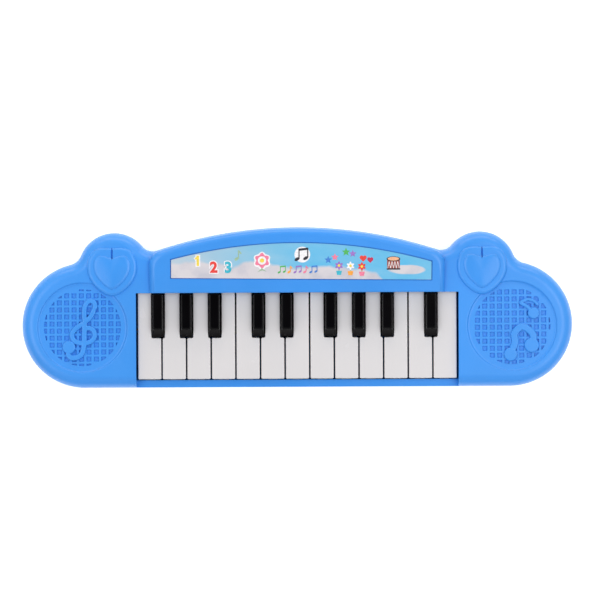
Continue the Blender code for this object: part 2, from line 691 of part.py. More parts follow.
def battery_door():
    x0, y0, x1, y1 = BAY
    outline = chamfered(x0 + 0.35, y0 + 0.35, x1 - 0.35, y1 - 0.35, 3.1)
    door = prism("battery_door", outline, FLOOR_BOTTOM, 3.1)
    for x, y, way in DOOR_SCREWS.values():
        low, high = sorted((y - way * 4.5, y + way * 2.2))
        join(door, box("lug", x - 4.0, low, FLOOR_BOTTOM + 0.02, x + 4.0, high, 3.08))
        cut(door, cylinder("hole", (x, y), 1.3, 0, 5, 8), cylinder("sink", (x, y), 2.3, 1, 2.3, 12))
    cut(door, boxes("grip_lines", [(x - 0.5, -6.5, 1, x + 0.5, 8.5, 2.0) for x in range(114, 133, 3)]))
    place(door, 122.5, -10.5, 2.3)
    paint(door, BLUE, 0.4)
    for end, (x, y, _) in DOOR_SCREWS.items():
        made = screw("battery_door_screw_" + end, (x, y), 2.0, 1.55, 2.1, 1.0, 9.5)
        place(made, x, y, 2.0)


def screw(name, centre, head_r, head_low, head_high, shank_r, tip):
    """A cross-head screw that points up."""
    rings = ((head_r, head_low), (head_r, head_high), (shank_r, head_high + 0.02), (shank_r, tip - shank_r))
    made = stepped(name, centre, (*rings, (0.3, tip)), 10)
    x, y = centre
    depth = min(0.6, (head_high - head_low) * 0.5)
    for wide, deep in ((head_r * 0.6, 0.22), (0.22, head_r * 0.6)):
        cut(made, box("slot", x - wide, y - deep, head_low - 1, x + wide, y + deep, head_low + depth))
    paint(made, STEEL, 0.3, 1)
    return made


def screws():
    for number, (x, y, _) in enumerate(CASE_SCREWS, 1):
        screw(f"case_screw_{number}", (x, y), 2.8, 6.9, 8.7, 1.0, 20.0)
    for number, centre in enumerate(BOARD_SCREWS, 1):
        board_screw(number, centre)


def board_screw(number, centre):
    steps = ((0.3, 4.4), (0.9, 5.0), (0.9, 8.68), (1.9, 8.7), (1.9, 9.6), (1.5, 9.9))
    made = stepped(f"board_screw_{number}", centre, steps, 10)
    paint(made, STEEL, 0.3, 1)


def power_switch():
    x, y = SWITCH
    body = box("power_switch_body", x - 6.5, y - 3.2, 3.8, x + 6.5, y + 3.2, 8.8)
    cut(body, box("slot", x - 4.3, y - 1.6, 3, x + 4.3, y + 1.6, 7.0))
    paint(body, STEEL, 0.4, 0.8)
    knob = box("power_switch_knob", x - 4.6, y - 2.2, 0.9, x - 0.4, y + 2.2, 2.0)
    join(knob, box("neck", x - 4.0, y - 1.1, 1.5, x - 1.0, y + 1.1, 6.4))
    cut(knob, boxes("ridges", [(x - a, y - 3, 0, x - a + 0.4, y + 3, 1.2) for a in (3.9, 2.7, 1.5)]))
    place(knob, x - 2.5, y, 2.0)
    paint(knob, BLACK, 0.5)


def wires():
    paths = {
        "speaker_wire_red": (RED, [
            (-91, -13.3, 9.3), (-94.5, -13.3, 10.2), (-100, -12.5, 11.4), (-106, -11, 12.0),
            (-110.5, -9.6, 11.6),
            (-113.2, -9.2, 10.2),
        ]),
        "speaker_wire_black": (BLACK, [
            (-91, -15, 9.3), (-95, -15.6, 10.0), (-101, -16.6, 11.2), (-106.5, -17, 12.0),
            (-110.8, -16.6, 11.6),
            (-113.2, -16.2, 10.2),
        ]),
        "battery_wire_red": (RED, [
            (91, 4.2, 9.3), (93.3, 5.4, 9.8), (94, 10, 9.8), (94.2, 16, 9.2), (94.4, 22, 9.6), (96.5, 24, 13),
            (100, 24.3, 18.5), (104, 22.4, 20.9), (107.7, 18.5, 20.6),
        ]),
        "battery_wire_black": (BLACK, [
            (91, 2.6, 9.3), (93.8, 3.0, 9.6), (96.4, 7, 9.8), (97.1, 12.2, 11.5), (97.2, 13.3, 15.5),
            (97.3, 13.2, 19.6), (98.7, 12.7, 21.1), (110, 2, 21.1), (122, -18, 21.0), (133, -32, 21.0),
            (136.7, -37, 20.8),
        ]),
    }
    for name, (colour, path) in paths.items():
        wire = tube(name, path, 0.6)
        smooth(wire, 60)
        paint(wire, colour, 0.5)


def panel_label():
    """The printed sticker on the sloping console: straight base and ends, arched top, slightly askew."""
    left, right, base, end, middle = -77.5, 77.5, 16.8, 27.6, 38.1
    radius = (right**2 + (middle - end) ** 2) / (2 * (middle - end))
    outline = [(left, base), (right, base)]
    for i in range(15):
        x = right + (left - right) * i / 14
        outline.append((x, middle - radius + math.sqrt(radius**2 - x**2)))
    turn, centre_x, centre_y = math.radians(-0.6), 2.6, 25.0
    rings = []
    for lift in (0.05, 0.3):
        ring = []
        for x, y in outline:
            px = centre_x + x * math.cos(turn) - (y - centre_y) * math.sin(turn)
            py = centre_y + x * math.sin(turn) + (y - centre_y) * math.cos(turn)
            ring.append((px, py, console_height(py) + lift))
        rings.append(ring)
    paint(loft("panel_label", rings), PAPER, 0.35)


def main():
    clear_scene()
    top_shell()
    bottom_shell()
    rubber_feet()
    panel_label()
    for index in range(len(WHITE_NAMES)):
        white_key(index)
    for name in BLACK_KEYS:
        black_key(name)
    hinge_rod()
    electronics()
    speaker()
    battery_cells()
    battery_contacts()
    battery_door()
    screws()
    power_switch()
    wires()


main()
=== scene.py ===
"""The looks of the toy electronic keyboard: fine moulded shells, keys, printed panel, materials and studio.

Shapes are worked out in millimetres, which solid() and digit() turn into metres. Lights and camera are in
metres. X runs along the keys, Y to the rear and Z up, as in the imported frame.
"""

import json
import math

import bmesh
import bpy
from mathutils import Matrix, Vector


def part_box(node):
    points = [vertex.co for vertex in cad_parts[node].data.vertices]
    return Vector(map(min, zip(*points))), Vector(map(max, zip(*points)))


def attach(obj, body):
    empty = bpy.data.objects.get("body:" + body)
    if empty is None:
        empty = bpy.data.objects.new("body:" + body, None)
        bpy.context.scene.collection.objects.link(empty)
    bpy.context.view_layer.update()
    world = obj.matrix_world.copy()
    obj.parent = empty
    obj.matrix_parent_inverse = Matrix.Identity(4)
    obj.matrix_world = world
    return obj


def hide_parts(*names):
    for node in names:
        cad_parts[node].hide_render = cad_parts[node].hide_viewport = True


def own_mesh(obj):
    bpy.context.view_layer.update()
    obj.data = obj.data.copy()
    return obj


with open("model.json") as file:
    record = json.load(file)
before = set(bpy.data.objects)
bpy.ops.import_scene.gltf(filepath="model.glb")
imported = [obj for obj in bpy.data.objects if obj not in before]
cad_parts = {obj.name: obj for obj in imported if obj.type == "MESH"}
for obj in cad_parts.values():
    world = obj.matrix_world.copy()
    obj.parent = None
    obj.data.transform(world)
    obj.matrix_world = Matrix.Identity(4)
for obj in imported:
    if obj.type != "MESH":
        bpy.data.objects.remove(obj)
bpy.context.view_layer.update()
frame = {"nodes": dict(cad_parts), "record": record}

MM = 0.001


def box_mm(node):
    """The lowest and highest corners of a CAD node, in millimetres."""
    low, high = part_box(node)
    return low / MM, high / MM


# Sizes of the case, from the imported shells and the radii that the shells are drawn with

CASE_LOW, CASE_HIGH = box_mm("top_shell")
LOBE_R, EAR_R, ARCH_R = 37.5, 21.6, 267.0
LOBE = (CASE_HIGH.x - LOBE_R, CASE_LOW.y + LOBE_R)
EAR = (LOBE[0] - 17.8, LOBE[1] + 33.9)
ARCH = (0.0, CASE_HIGH.y - ARCH_R)
SIDE_FILLET, REAR_FILLET = 9.0, 8.0

SPLIT_HIGH, SPLIT_LOW = CASE_LOW.z, 13.7
FLOOR_BOTTOM, FLOOR_TOP = 1.5, 3.5
LOBE_TOP, RAIL_TOP = 26.0, 17.5
ROLL_OFF, ROLL_START = 7.6, 17.0
CONSOLE_FRONT_Y, CONSOLE_FRONT_Z, CONSOLE_SLOPE = 8.7, 29.5, 0.0875
CONSOLE_SIDE, CONSOLE_ROUND = 88.7, 3.7
OPENING_X, OPENING_FRONT, OPENING_REAR = 96.4, -43.5, 8.7
CAVITY = ((SPLIT_LOW, 2.2), (20.5, 2.5), (22.3, 3.6), (23.8, 6.5))  # (height, wall thickness)
AHEAD = -60.0  # in front of the whole case

# Grilles, motifs and hearts

GRILLE_R, LATTICE_R, CELL, CELL_PITCH = 26.7, 22.9, 2.6, (4.4, 4.2)
GRILLE_FLOOR, POCKET_FLOOR, MOTIF_TOP = 25.0, 23.9, 26.25
GRILLES = {  # side: (centre, the lattice's first cell from there)
    -1: ((-LOBE[0] - 0.8, LOBE[1] - 1.2), (-0.6, -2.0)),
    1: ((LOBE[0] + 0.8, LOBE[1] - 1.2), (-3.1, -0.9)),
}
HEART = (EAR[0] + 0.7, EAR[1] - 2.1)

# Keys



def nodes_along(stem):
    """The nodes whose names start like this, from left to right."""
    return sorted((n for n in frame["nodes"] if n.startswith(stem)), key=lambda n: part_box(n)[0].x)


WHITE_KEYS, BLACK_KEYS = nodes_along("white_key_"), nodes_along("black_key_")
WHITE_FRONT, KEY_REAR, NOTCH_FRONT, NOTCH_HALF = -42.8, 14.5, -18.2, 3.95
KEY_BOTTOM, WHITE_TOP, BLACK_HALF, BLACK_SHOULDER = 15.5, 23.0, 3.45, 27.3
PLUNGER_HALF, CLIP_OUTER_R, CLIP_HALF = 1.3, 2.5, 2.5
HINGE_Y, HINGE_Z, CLIP_R = 19.0, 16.0, 1.12
WHITE_DOME_Y, BLACK_DOME_Y, DOME_TOP = -8.0, -2.0, 12.0


# Meshes


def add_object(name, data):
    obj = bpy.data.objects.new(name, data)
    bpy.context.scene.collection.objects.link(obj)
    return obj


def solid(name, points, faces):
    """An object through points in millimetres, with its faces turned outwards."""
    mesh = bpy.data.meshes.new(name)
    mesh.from_pydata([[c * MM for c in p] for p in points], [], faces)
    shape = bmesh.new()
    shape.from_mesh(mesh)
    bmesh.ops.recalc_face_normals(shape, faces=shape.faces)
    shape.to_mesh(mesh)
    shape.free()
    return add_object(name, mesh)


def loft(name, rings):
    """A closed solid through rings that all have the same number of points."""
    count = len(rings[0])
    faces = [tuple(range(count)), tuple(range(len(rings) * count - count, len(rings) * count))]
    for level in range(len(rings) - 1):
        for i in range(count):
            j = (i + 1) % count
            a, b = level * count, level * count + count
            faces.append((a + i, a + j, b + j, b + i))
    return solid(name, [p for ring in rings for p in ring], faces)


def ring_at(outline, z):
    return [(x, y, z) for x, y in outline]


def flat_rings(levels, outline):
    """Rings for loft(): outline(inset) at each (height, inset)."""
    return [ring_at(outline(inset), z) for z, inset in levels]


def prism(name, outline, low, high):
    return loft(name, [ring_at(outline, z) for z in (low, high)])


def side_prism(name, profile, x_low, x_high):
    """A solid with this outline in Y and Z, from x_low to x_high."""
    return loft(name, [[(x, y, z) for y, z in profile] for x in (x_low, x_high)])


def boxes(name, corners):
    """One mesh of separate boxes, each given as (x0, y0, z0, x1, y1, z1)."""
    points, faces = [], []
    for x0, y0, z0, x1, y1, z1 in corners:
        n = len(points)
        points += [(x, y, z) for z in (z0, z1) for x, y in ((x0, y0), (x1, y0), (x1, y1), (x0, y1))]
        quads = ((3, 2, 1, 0), (4, 5, 6, 7), (0, 1, 5, 4), (1, 2, 6, 5), (2, 3, 7, 6), (3, 0, 4, 7))
        faces += [tuple(n + i for i in quad) for quad in quads]
    return solid(name, points, faces)


def box(name, *corners):
    return boxes(name, [corners])


def rectangle(x0, y0, x1, y1):
    return [(x0, y0), (x1, y0), (x1, y1), (x0, y1)]


def circle(centre, radius, count):
    steps = [2 * math.pi * (i + 0.5) / count for i in range(count)]
    return [(centre[0] + radius * math.cos(a), centre[1] + radius * math.sin(a)) for a in steps]


def cylinder(name, centre, radius, low, high, count=32):
    return prism(name, circle(centre, radius, count), low, high)


def stepped(name, centre, steps, count=32):
    """A round solid on a vertical axis through (radius, height) steps, from one end to the other."""
    return loft(name, [ring_at(circle(centre, r, count), z) for r, z in steps])


def boolean(target, tool, operation="DIFFERENCE"):
    """Applies the Boolean to the target and removes the tool."""
    modifier = target.modifiers.new("boolean", "BOOLEAN")
    modifier.operation, modifier.solver, modifier.object = operation, "MANIFOLD", tool
    graph = bpy.context.evaluated_depsgraph_get()
    old = target.data
    target.data = bpy.data.meshes.new_from_object(target.evaluated_get(graph))
    target.modifiers.clear()
    bpy.data.meshes.remove(old)
    bpy.data.objects.remove(tool)


def cut(target, *tools):
    for tool in tools:
        boolean(target, tool)


def join(target, *tools):
    for tool in tools:
        boolean(target, tool, "UNION")


def finish_shape(obj, degrees):
    """Smooth shading that leaves edges sharper than this crisp, and keeps flat faces flat."""
    obj.data.shade_smooth()
    obj.data.set_sharp_from_angle(angle=math.radians(degrees))
    weighted = obj.modifiers.new("flat faces stay flat", "WEIGHTED_NORMAL")
    weighted.keep_sharp = True
    weighted.weight = 90


def settle(obj, body, slot, *nodes, degrees=32):
    """Smooths a finished piece, gives it its body and that slot's material, and hides the CAD nodes that it
    takes the place of.
    """
    finish_shape(obj, degrees)
    obj.data.materials.clear()
    obj.data.materials.append(MATERIALS[slot])
    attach(obj, body)
    if nodes:
        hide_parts(*nodes)
    return obj


# Outlines


def crossing(a, radius_a, b, radius_b):
    """Where two circles meet, on the right of the way from a to b."""
    dx, dy = b[0] - a[0], b[1] - a[1]
    gap = math.hypot(dx, dy)
    along = (gap**2 + radius_a**2 - radius_b**2) / (2 * gap)
    across = math.sqrt(radius_a**2 - along**2)
    return (a[0] + (dx * along + dy * across) / gap, a[1] + (dy * along - dx * across) / gap)


def heading(a, b):
    return math.atan2(b[1] - a[1], b[0] - a[0])


def arc(centre, radius, start, end, count, clockwise=False):
    """Points on an arc between two headings, in radians, without its last one."""
    turn = (start - end if clockwise else end - start) % (2 * math.pi)
    turn = -turn if clockwise else turn
    angles = [start + turn * i / count for i in range(count)]
    return [(centre[0] + radius * math.cos(a), centre[1] + radius * math.sin(a)) for a in angles]


def mirrored(half):
    """Closes a right half that ends on the middle line."""
    return half + [(-x, y) for x, y in reversed(half[:-1])]


def case_outline(inset):
    """The case from above, drawn in by this much. Every inset has the same number of points."""
    side = crossing(LOBE, LOBE_R + SIDE_FILLET, EAR, EAR_R + SIDE_FILLET)
    rear = crossing(EAR, EAR_R + REAR_FILLET, ARCH, ARCH_R + REAR_FILLET)
    half = arc(LOBE, LOBE_R - inset, math.radians(-90), heading(LOBE, side), 52)
    half += arc(side, SIDE_FILLET + inset, heading(side, LOBE), heading(side, EAR), 10, True)
    half += arc(EAR, EAR_R - inset, heading(EAR, side), heading(EAR, rear), 32)
    half += arc(rear, REAR_FILLET + inset, heading(rear, EAR), heading(rear, ARCH), 10, True)
    half += arc(ARCH, ARCH_R - inset, heading(ARCH, rear), math.radians(90), 24)
    return mirrored(half + [(ARCH[0], ARCH[1] + ARCH_R - inset)])


def console_outline(side, front, inset, corner=9.0):
    """The raised console from above: straight front and sides, round rear corners, arched rear."""
    radius = ARCH_R - inset
    x = side - corner
    centre = (x, ARCH[1] + math.sqrt((radius - corner) ** 2 - x**2))
    half = [(side, front)] + arc(centre, corner, 0, heading(ARCH, centre), 16)
    half += arc(ARCH, radius, heading(ARCH, centre), math.radians(90), 24)
    return mirrored(half + [(0, ARCH[1] + radius)])


def console_height(y):
    return CONSOLE_FRONT_Z + CONSOLE_SLOPE * (y - CONSOLE_FRONT_Y)


def rounding(steps, power=2.0):
    """(in, up) shares of an edge's rounding, from its foot (0, 0) to its top (1, 1)."""
    turns = [math.pi / 2 * i / steps for i in range(steps + 1)]
    return [(1 - math.cos(t) ** (2 / power), math.sin(t) ** (2 / power)) for t in turns]


def heart_outline(centre, size, notch, fullness, blunt=0, count=96):
    """A heart. Notch parts its lobes, low fullness rounds its sides, and blunt rounds its tip and notch."""
    raw = []
    for i in range(count * 4):
        t = 2 * math.pi * i / (count * 4)
        waves = 13 * math.cos(t) - notch * math.cos(2 * t) - 1.4 * math.cos(3 * t)
        waves -= 0.6 * math.cos(4 * t)
        raw.append((10 * math.copysign(abs(math.sin(t)) ** fullness, math.sin(t)), waves))
    outline = evenly_spaced(raw, count)
    for _ in range(blunt):
        triples = [(outline[i - 1], outline[i], outline[(i + 1) % count]) for i in range(count)]
        outline = [tuple((a + 2 * b + c) / 4 for a, b, c in zip(*triple)) for triple in triples]
    reach = max(x for x, _ in outline)
    low, high = min(y for _, y in outline), max(y for _, y in outline)
    return [
        (centre[0] + x / reach / 2 * size[0], centre[1] + ((y - low) / (high - low) - 0.5) * size[1])
        for x, y in outline
    ]


def evenly_spaced(outline, count):
    """The same closed outline through this many points at equal distances."""
    closed = outline + [outline[0]]
    lengths = [math.dist(a, b) for a, b in zip(closed, closed[1:])]
    step, at, travelled, made = sum(lengths) / count, 0, 0.0, []
    for i in range(count):
        while travelled + lengths[at] < i * step - 1e-9:
            travelled += lengths[at]
            at += 1
        share = (i * step - travelled) / max(lengths[at], 1e-9)
        a, b = closed[at], closed[at + 1]
        made.append((a[0] + (b[0] - a[0]) * share, a[1] + (b[1] - a[1]) * share))
    return made


def catmull_rom(t, p, q, r, s):
    """How far along one axis the curve through q and r is, at share t of the way."""
    square, cube = 2 * p - 5 * q + 4 * r - s, 3 * q - p - 3 * r + s
    return 0.5 * (2 * q + (r - p) * t + square * t**2 + cube * t**3)


def smooth_path(points, steps=8):
    """A Catmull-Rom curve through these points."""
    ends = [points[0], *points, points[-1]]
    path = []
    for a, b, c, d in zip(ends, ends[1:], ends[2:], ends[3:]):
        for i in range(steps):
            t = i / steps
            path.append(tuple(catmull_rom(t, *along) for along in zip(a, b, c, d)))
    return path + [tuple(points[-1])]


def strip(name, path, half_width, low, top, edge=0.7):
    """A raised band along a path in X and Y: flat on top, with rounded edges and round ends."""
    path = smooth_path(path)
    distance = [0.0]
    for a, b in zip(path, path[1:]):
        distance.append(distance[-1] + math.dist(a, b))
    rings = []
    for i, (x, y) in enumerate(path):
        a, b = path[max(i - 1, 0)], path[min(i + 1, len(path) - 1)]
        length = math.dist(a, b)
        nx, ny = (a[1] - b[1]) / length, (b[0] - a[0]) / length
        to_end = min(distance[i], distance[-1] - distance[i], half_width)
        half = half_width * math.sqrt(max(1 - (1 - to_end / half_width) ** 2, 0.04))
        corner = min(edge, half * 0.9)
        side = [(half - corner * inward, top - corner * (1 - up)) for inward, up in rounding(4)]
        profile = [(half, low), *side, *[(-w, z) for w, z in reversed(side)], (-half, low)]
        rings.append([(x + nx * w, y + ny * w, z) for w, z in profile])
    return loft(name, rings)


def pad(name, centre, radius, low, top, edge=0.8, count=40):
    """A round raised dot with a rounded edge."""
    rings = [(radius, low)] + [(radius - edge * inward, top - edge * (1 - up)) for inward, up in rounding(5)]
    return stepped(name, centre, rings, count)


# Top shell


def cavity():
    """The hollow of the upper case, leaving walls beside the keys and a rail in front of them."""
    hollow = loft("cavity", flat_rings(CAVITY, case_outline))
    for side in (-1, 1):
        x0, x1 = sorted((side * OPENING_X, side * (OPENING_X + 2)))
        cut(hollow, box("wall", x0, AHEAD, SPLIT_HIGH, x1, OPENING_REAR + 2, 25))
    cut(hollow, box("rail", -OPENING_X - 1, AHEAD, SPLIT_HIGH, OPENING_X + 1, OPENING_FRONT, RAIL_TOP + 3))
    return hollow


def console():
    """The console block, rounded all along its upper edge."""
    rings = [ring_at(console_outline(CONSOLE_SIDE, 6.0, 0.7), 20.0)]
    for inward, up in rounding(9):
        side, rear = CONSOLE_SIDE - 0.4 - CONSOLE_ROUND * inward, 1.0 + 4.2 * inward
        front = OPENING_REAR - 1.2 + 2.2 * inward
        drop = 4.2 * (1 - up)
        rings.append([(x, y, console_height(y) - drop) for x, y in console_outline(side, front, rear)])
    return loft("console", rings)


def recess(side):
    """The round dish that a grille sits in, with a soft rim."""
    rim = ((-1.3, 25.0), (-0.7, 25.06), (-0.25, 25.25), (0, 25.6), (0.1, 25.75), (0.35, 25.93), (0.8, 26.01))
    rings = [(GRILLE_R + out, z) for out, z in (*rim, (0.8, 27.0))]
    return stepped("recess", GRILLES[side][0], rings, 128)


def lattice(side):
    """The square pockets of a grille, cut off round its rim."""
    (cx, cy), (first_x, first_y) = GRILLES[side]
    points, faces = [], []
    half_cell, span = CELL / 2, range(-7, 8)
    levels = ((half_cell - 0.1, POCKET_FLOOR), (half_cell, GRILLE_FLOOR - 0.3),
              (half_cell + 0.2, GRILLE_FLOOR + 0.01), (half_cell + 0.2, GRILLE_FLOOR + 0.6))
    for column in span:
        for row in span:
            x, y = first_x + column * CELL_PITCH[0], first_y + row * CELL_PITCH[1]
            nearest = math.hypot(max(abs(x) - half_cell, 0), max(abs(y) - half_cell, 0))
            if nearest > LATTICE_R - 0.7:
                continue
            n = len(points)
            for half, z in levels:
                for sx, sy in ((-1, -1), (1, -1), (1, 1), (-1, 1)):
                    points.append((cx + x + sx * half, cy + y + sy * half, z))
            faces += [(n + 3, n + 2, n + 1, n), (n + 12, n + 13, n + 14, n + 15)]
            for level in range(3):
                for i in range(4):
                    a, b, j = n + level * 4, n + level * 4 + 4, (i + 1) % 4
                    faces.append((a + i, a + j, b + j, b + i))
    cells = solid("pockets", points, faces)
    boolean(cells, cylinder("limit", (cx, cy), LATTICE_R, 20, 30, 96), "INTERSECT")
    return cells


CLEF_BANDS = (
    (1.45, ((1.3, 3.6), (1.2, 11.1), (2.9, 15.0), (5.4, 16.0), (7.5, 14.1), (7.2, 10.5))),
    (1.45, ((7.3, 11.5), (4.8, 6.3), (0.6, 2.7), (-4.0, -0.6), (-6.3, -4.2), (-4.8, -7.8), (-0.6, -9.3),
            (4.2, -8.7), (7.2, -5.7), (6.6, -1.8), (3.6, -0.2), (0.9, -1.2))),
    (1.55, ((1.4, 5.0), (1.2, -2.1), (0.9, -9.9), (0.0, -14.7), (-2.4, -17.4), (-6.6, -18.0), (-9.6, -15.0))),
)
CLEF_DISCS = ((-8.1, -11.7, 3.9),)
NOTE_BANDS = (
    (2.1, ((-0.2, -15.0), (1.7, -9.5), (1.2, -5.1), (3.8, -1.6), (6.4, -0.6), (9.4, -2.2), (12.4, -5.4),
           (12.6, -9.5))),
    (1.1, ((11.8, 8.5), (8.6, 11.6), (4.6, 13.7))),
    (0.95, ((4.3, 13.4), (9.0, 15.6), (13.0, 14.6), (15.6, 12.0))),
)
NOTE_DISCS = ((-1.0, -17.1, 4.0), (11.6, -11.7, 4.4), (12.8, 7.5, 3.5))


def motif(shell, side):
    """Raises a treble clef on the left grille, and a beamed pair and a single note on the right."""
    cx, cy = GRILLES[side][0]
    bands, discs = (CLEF_BANDS, CLEF_DISCS) if side < 0 else (NOTE_BANDS, NOTE_DISCS)
    for i, (half_width, path) in enumerate(bands):
        placed = [(cx + x, cy + y) for x, y in path]
        join(shell, strip("band", placed, half_width, 23.3 - 0.03 * i, MOTIF_TOP + 0.02 * i))
    for i, (x, y, radius) in enumerate(discs):
        join(shell, pad("disc", (cx + x, cy + y), radius, 23.1 - 0.04 * i, MOTIF_TOP + 0.1 + 0.03 * i))


def heart(shell, side):
    """A broad puffed heart with a smaller one on it, and the crease where the broad one's lobes meet."""
    x, y = side * HEART[0], HEART[1]
    broad = [(1.0, 23.8)] + [(1.0 - 0.16 * inward, 25.6 + 1.7 * up) for inward, up in rounding(8)]
    small = [(1.0, 26.4)] + [(1.0 - 0.28 * inward, 26.9 + 1.2 * up) for inward, up in rounding(8)]
    small += [(0.55, 28.3), (0.35, 28.42), (0.15, 28.5), (0.04, 28.52)]
    tiers = (
        (broad, (30.2, 29.0), (x, y + 0.2), 1.6, 1.7, 30),
        (small, (22.6, 20.6), (x, y - 0.2), 3.4, 1.6, 12),
    )
    for steps, size, centre, notch, fullness, blunt in tiers:
        rings = []
        for scale, z in steps:
            outline = heart_outline(centre, [length * scale for length in size], notch, fullness, blunt)
            rings.append(ring_at(outline, z))
        join(shell, loft("heart", rings))
    crease = [(x - 0.1, y + 7.6), (x + 0.1, y + 7.6), (x + 0.55, y + 9.0), (x + 0.35, y + 14.8),
              (x - 0.35, y + 14.8), (x - 0.55, y + 9.0)]
    widths = ((0.4, 25.9), (1.0, 27.0), (2.4, 28.6))
    cut(shell, loft("crease", [[(x + (px - x) * wide, py, z) for px, py in crease] for wide, z in widths]))


LABEL_HALF, LABEL_BASE, LABEL_END, LABEL_PEAK = 77.5, 16.8, 27.6, 38.1
LABEL_PIVOT_Y, LABEL_TURN = 25.0, math.radians(-0.6)


def label_outline(margin=0.0, steps=40):
    """The printed sticker from above: straight base and ends, arched top, slightly askew."""
    low, high = box_mm("panel_label")
    half = LABEL_HALF + margin
    base, end, middle = LABEL_BASE - margin, LABEL_END + margin, LABEL_PEAK + margin
    centre_x, centre_y = (low.x + high.x) / 2, LABEL_PIVOT_Y
    radius = (half**2 + (middle - end) ** 2) / (2 * (middle - end))
    outline = [(-half, base), (half, base)]
    for i in range(steps + 1):
        x = half - 2 * half * i / steps
        outline.append((x, middle - radius + math.sqrt(radius**2 - x**2)))
    cosine, sine = math.cos(LABEL_TURN), math.sin(LABEL_TURN)
    return [
        (centre_x + x * cosine - (y - centre_y) * sine, centre_y + x * sine + (y - centre_y) * cosine)
        for x, y in outline
    ]


LABEL_SEAT, LABEL_FACE, MOAT_FLOOR = -0.5, -0.26, -1.3


def on_console(name, levels):
    """A solid whose levels, (outline, lift), follow the console's sloping top."""
    return loft(name, [[(x, y, console_height(y) + lift) for x, y in outline] for outline, lift in levels])


def label_moat():
    """The narrow groove round the sticker's seat."""
    moat = on_console("moat", ((label_outline(0.5), MOAT_FLOOR), (label_outline(0.5), 2.0)))
    cut(moat, on_console("island", ((label_outline(0.05), MOAT_FLOOR - 1), (label_outline(0.05), 3.0))))
    return moat


def axis_of(node):
    """Where the upright axis of a round node stands."""
    low, high = box_mm(node)
    return ((low.x + high.x) / 2, (low.y + high.y) / 2)


def numbered(stem):
    """The nodes called stem_1, stem_2 and so on."""
    return sorted(n for n in frame["nodes"] if n.startswith(stem + "_") and n.rsplit("_", 1)[-1].isdigit())


def boss_top(x, y):
    """How high the boss over a case screw may go without showing."""
    if abs(x) < CONSOLE_SIDE - 5:
        return console_height(y) - 1.5
    return 23.0 if abs(x) > 140 else 24.8


def top_shell():
    """The upper case: outer skin, console and openings, then grilles and hearts, bosses and rod holders."""
    wall = [(SPLIT_HIGH, 0.25), (SPLIT_HIGH + 0.25, 0.0), (15.5, 0.03)]
    height = LOBE_TOP - ROLL_START
    roll = [(ROLL_START + height * up, 0.1 + ROLL_OFF * inward) for inward, up in rounding(16, 2.15)]
    shell = loft("top_shell_fine", flat_rings(wall + roll, case_outline))
    join(shell, console())
    cut(shell, cavity())
    inside = console_outline(86.3, OPENING_REAR + 2.2, 3.2, 7.0)
    cut(shell, loft("console_cavity", [
        ring_at(inside, 21.0),
        [(x, y, console_height(y) - 2.8) for x, y in console_outline(83.8, OPENING_REAR + 2.2, 6.0, 6.0)],
    ]))
    cut(
        shell,
        box("opening", -OPENING_X, OPENING_FRONT, 10, OPENING_X, OPENING_REAR, 35),
        box("rail_cut", -OPENING_X, AHEAD, RAIL_TOP, OPENING_X, OPENING_FRONT + 1, 35),
        on_console("label_seat", ((label_outline(0.45), LABEL_SEAT), (label_outline(0.45), 3.0))),
        label_moat(),
    )
    for side in (-1, 1):
        centre = GRILLES[side][0]
        join(shell, cylinder("backing", centre, 27.4, 22.0, 24.3, 48))
        cut(shell, recess(side), lattice(side))
        motif(shell, side)
        heart(shell, side)
    for x, y in map(axis_of, numbered("case_screw")):
        join(shell, cylinder("boss", (x, y), 3.6, SPLIT_HIGH, boss_top(x, y), 24))
        cut(shell, cylinder("pilot", (x, y), 1.2, 13, 21, 16))
    for x in rod_supports():
        top = 24.6 if abs(x) > 88 else 29.0
        join(shell, box("hold_down", x - RIB_HALF, 17.5, HINGE_Z + 1.3, x + RIB_HALF, 20.5, top))
    return settle(shell, "case", "case_plastic", "top_shell")


# Bottom shell and what is fitted to it

BAY = (100.4, -38.5, 144.6, 17.5)
BAY_ROOF, BAY_WALL, DOOR_TOP = 18.4, 1.4, 3.1
DOOR_SCREWS = {"battery_door_screw_front": -1, "battery_door_screw_rear": 1}  # which way their lugs point
SPEAKER = axis_of("speaker_cone")
SWITCH = axis_of("power_switch_body")
FOOT_SEAT = 2.2
SLOT_PITCH, SLOT_REACH, SLOT_HALF = 4.6, 17.5, 1.0
BOARD_TOP, RIB_HALF, BOARD_RIBS = 6.5, 0.8, (-85, -35, 35, 85)
SPEAKER_RING, SPEAKER_HOLE = 22.0, 20.5
FLOOR_SUNK = 2.6  # where posts and ribs start, inside the thickness of the floor
BASE_ROUND = 3.5
BASE_HOLLOW = ((FLOOR_TOP, 3.0), (10.8, 2.2), (12.4, 3.9), (17.0, 3.9))  # (height, wall thickness)
POST_R, HEAD_MOUTH_R, HEAD_R, BOARD_POST_R, SADDLE_HALF = 4.6, 3.9, 3.3, 2.6, 2.5
LUG_HALF, LUG_SEAT_HALF, DOOR_GAP = 4.0, 4.4, 0.35
GRIP_GROOVES = range(114, 133, 3)


def chamfered(x0, y0, x1, y1, corner):
    """A rectangle with its two right-hand corners cut off."""
    return [(x0, y0), (x1 - corner, y0), (x1, y0 + corner), (x1, y1 - corner), (x1 - corner, y1), (x0, y1)]


def sound_slots():
    """Seven slots with round ends under the speaker."""
    slots = []
    for row in range(-3, 4):
        y = SPEAKER[1] + row * SLOT_PITCH
        half = math.sqrt(SLOT_REACH**2 - (row * SLOT_PITCH) ** 2) - SLOT_HALF
        left, right = (SPEAKER[0] - half, y), (SPEAKER[0] + half, y)
        outline = arc(right, SLOT_HALF, -math.pi / 2, math.pi / 2, 8)
        outline += arc(left, SLOT_HALF, math.pi / 2, 1.5 * math.pi, 8)
        slots.append(prism("slot", outline, 0, 5))
    return slots


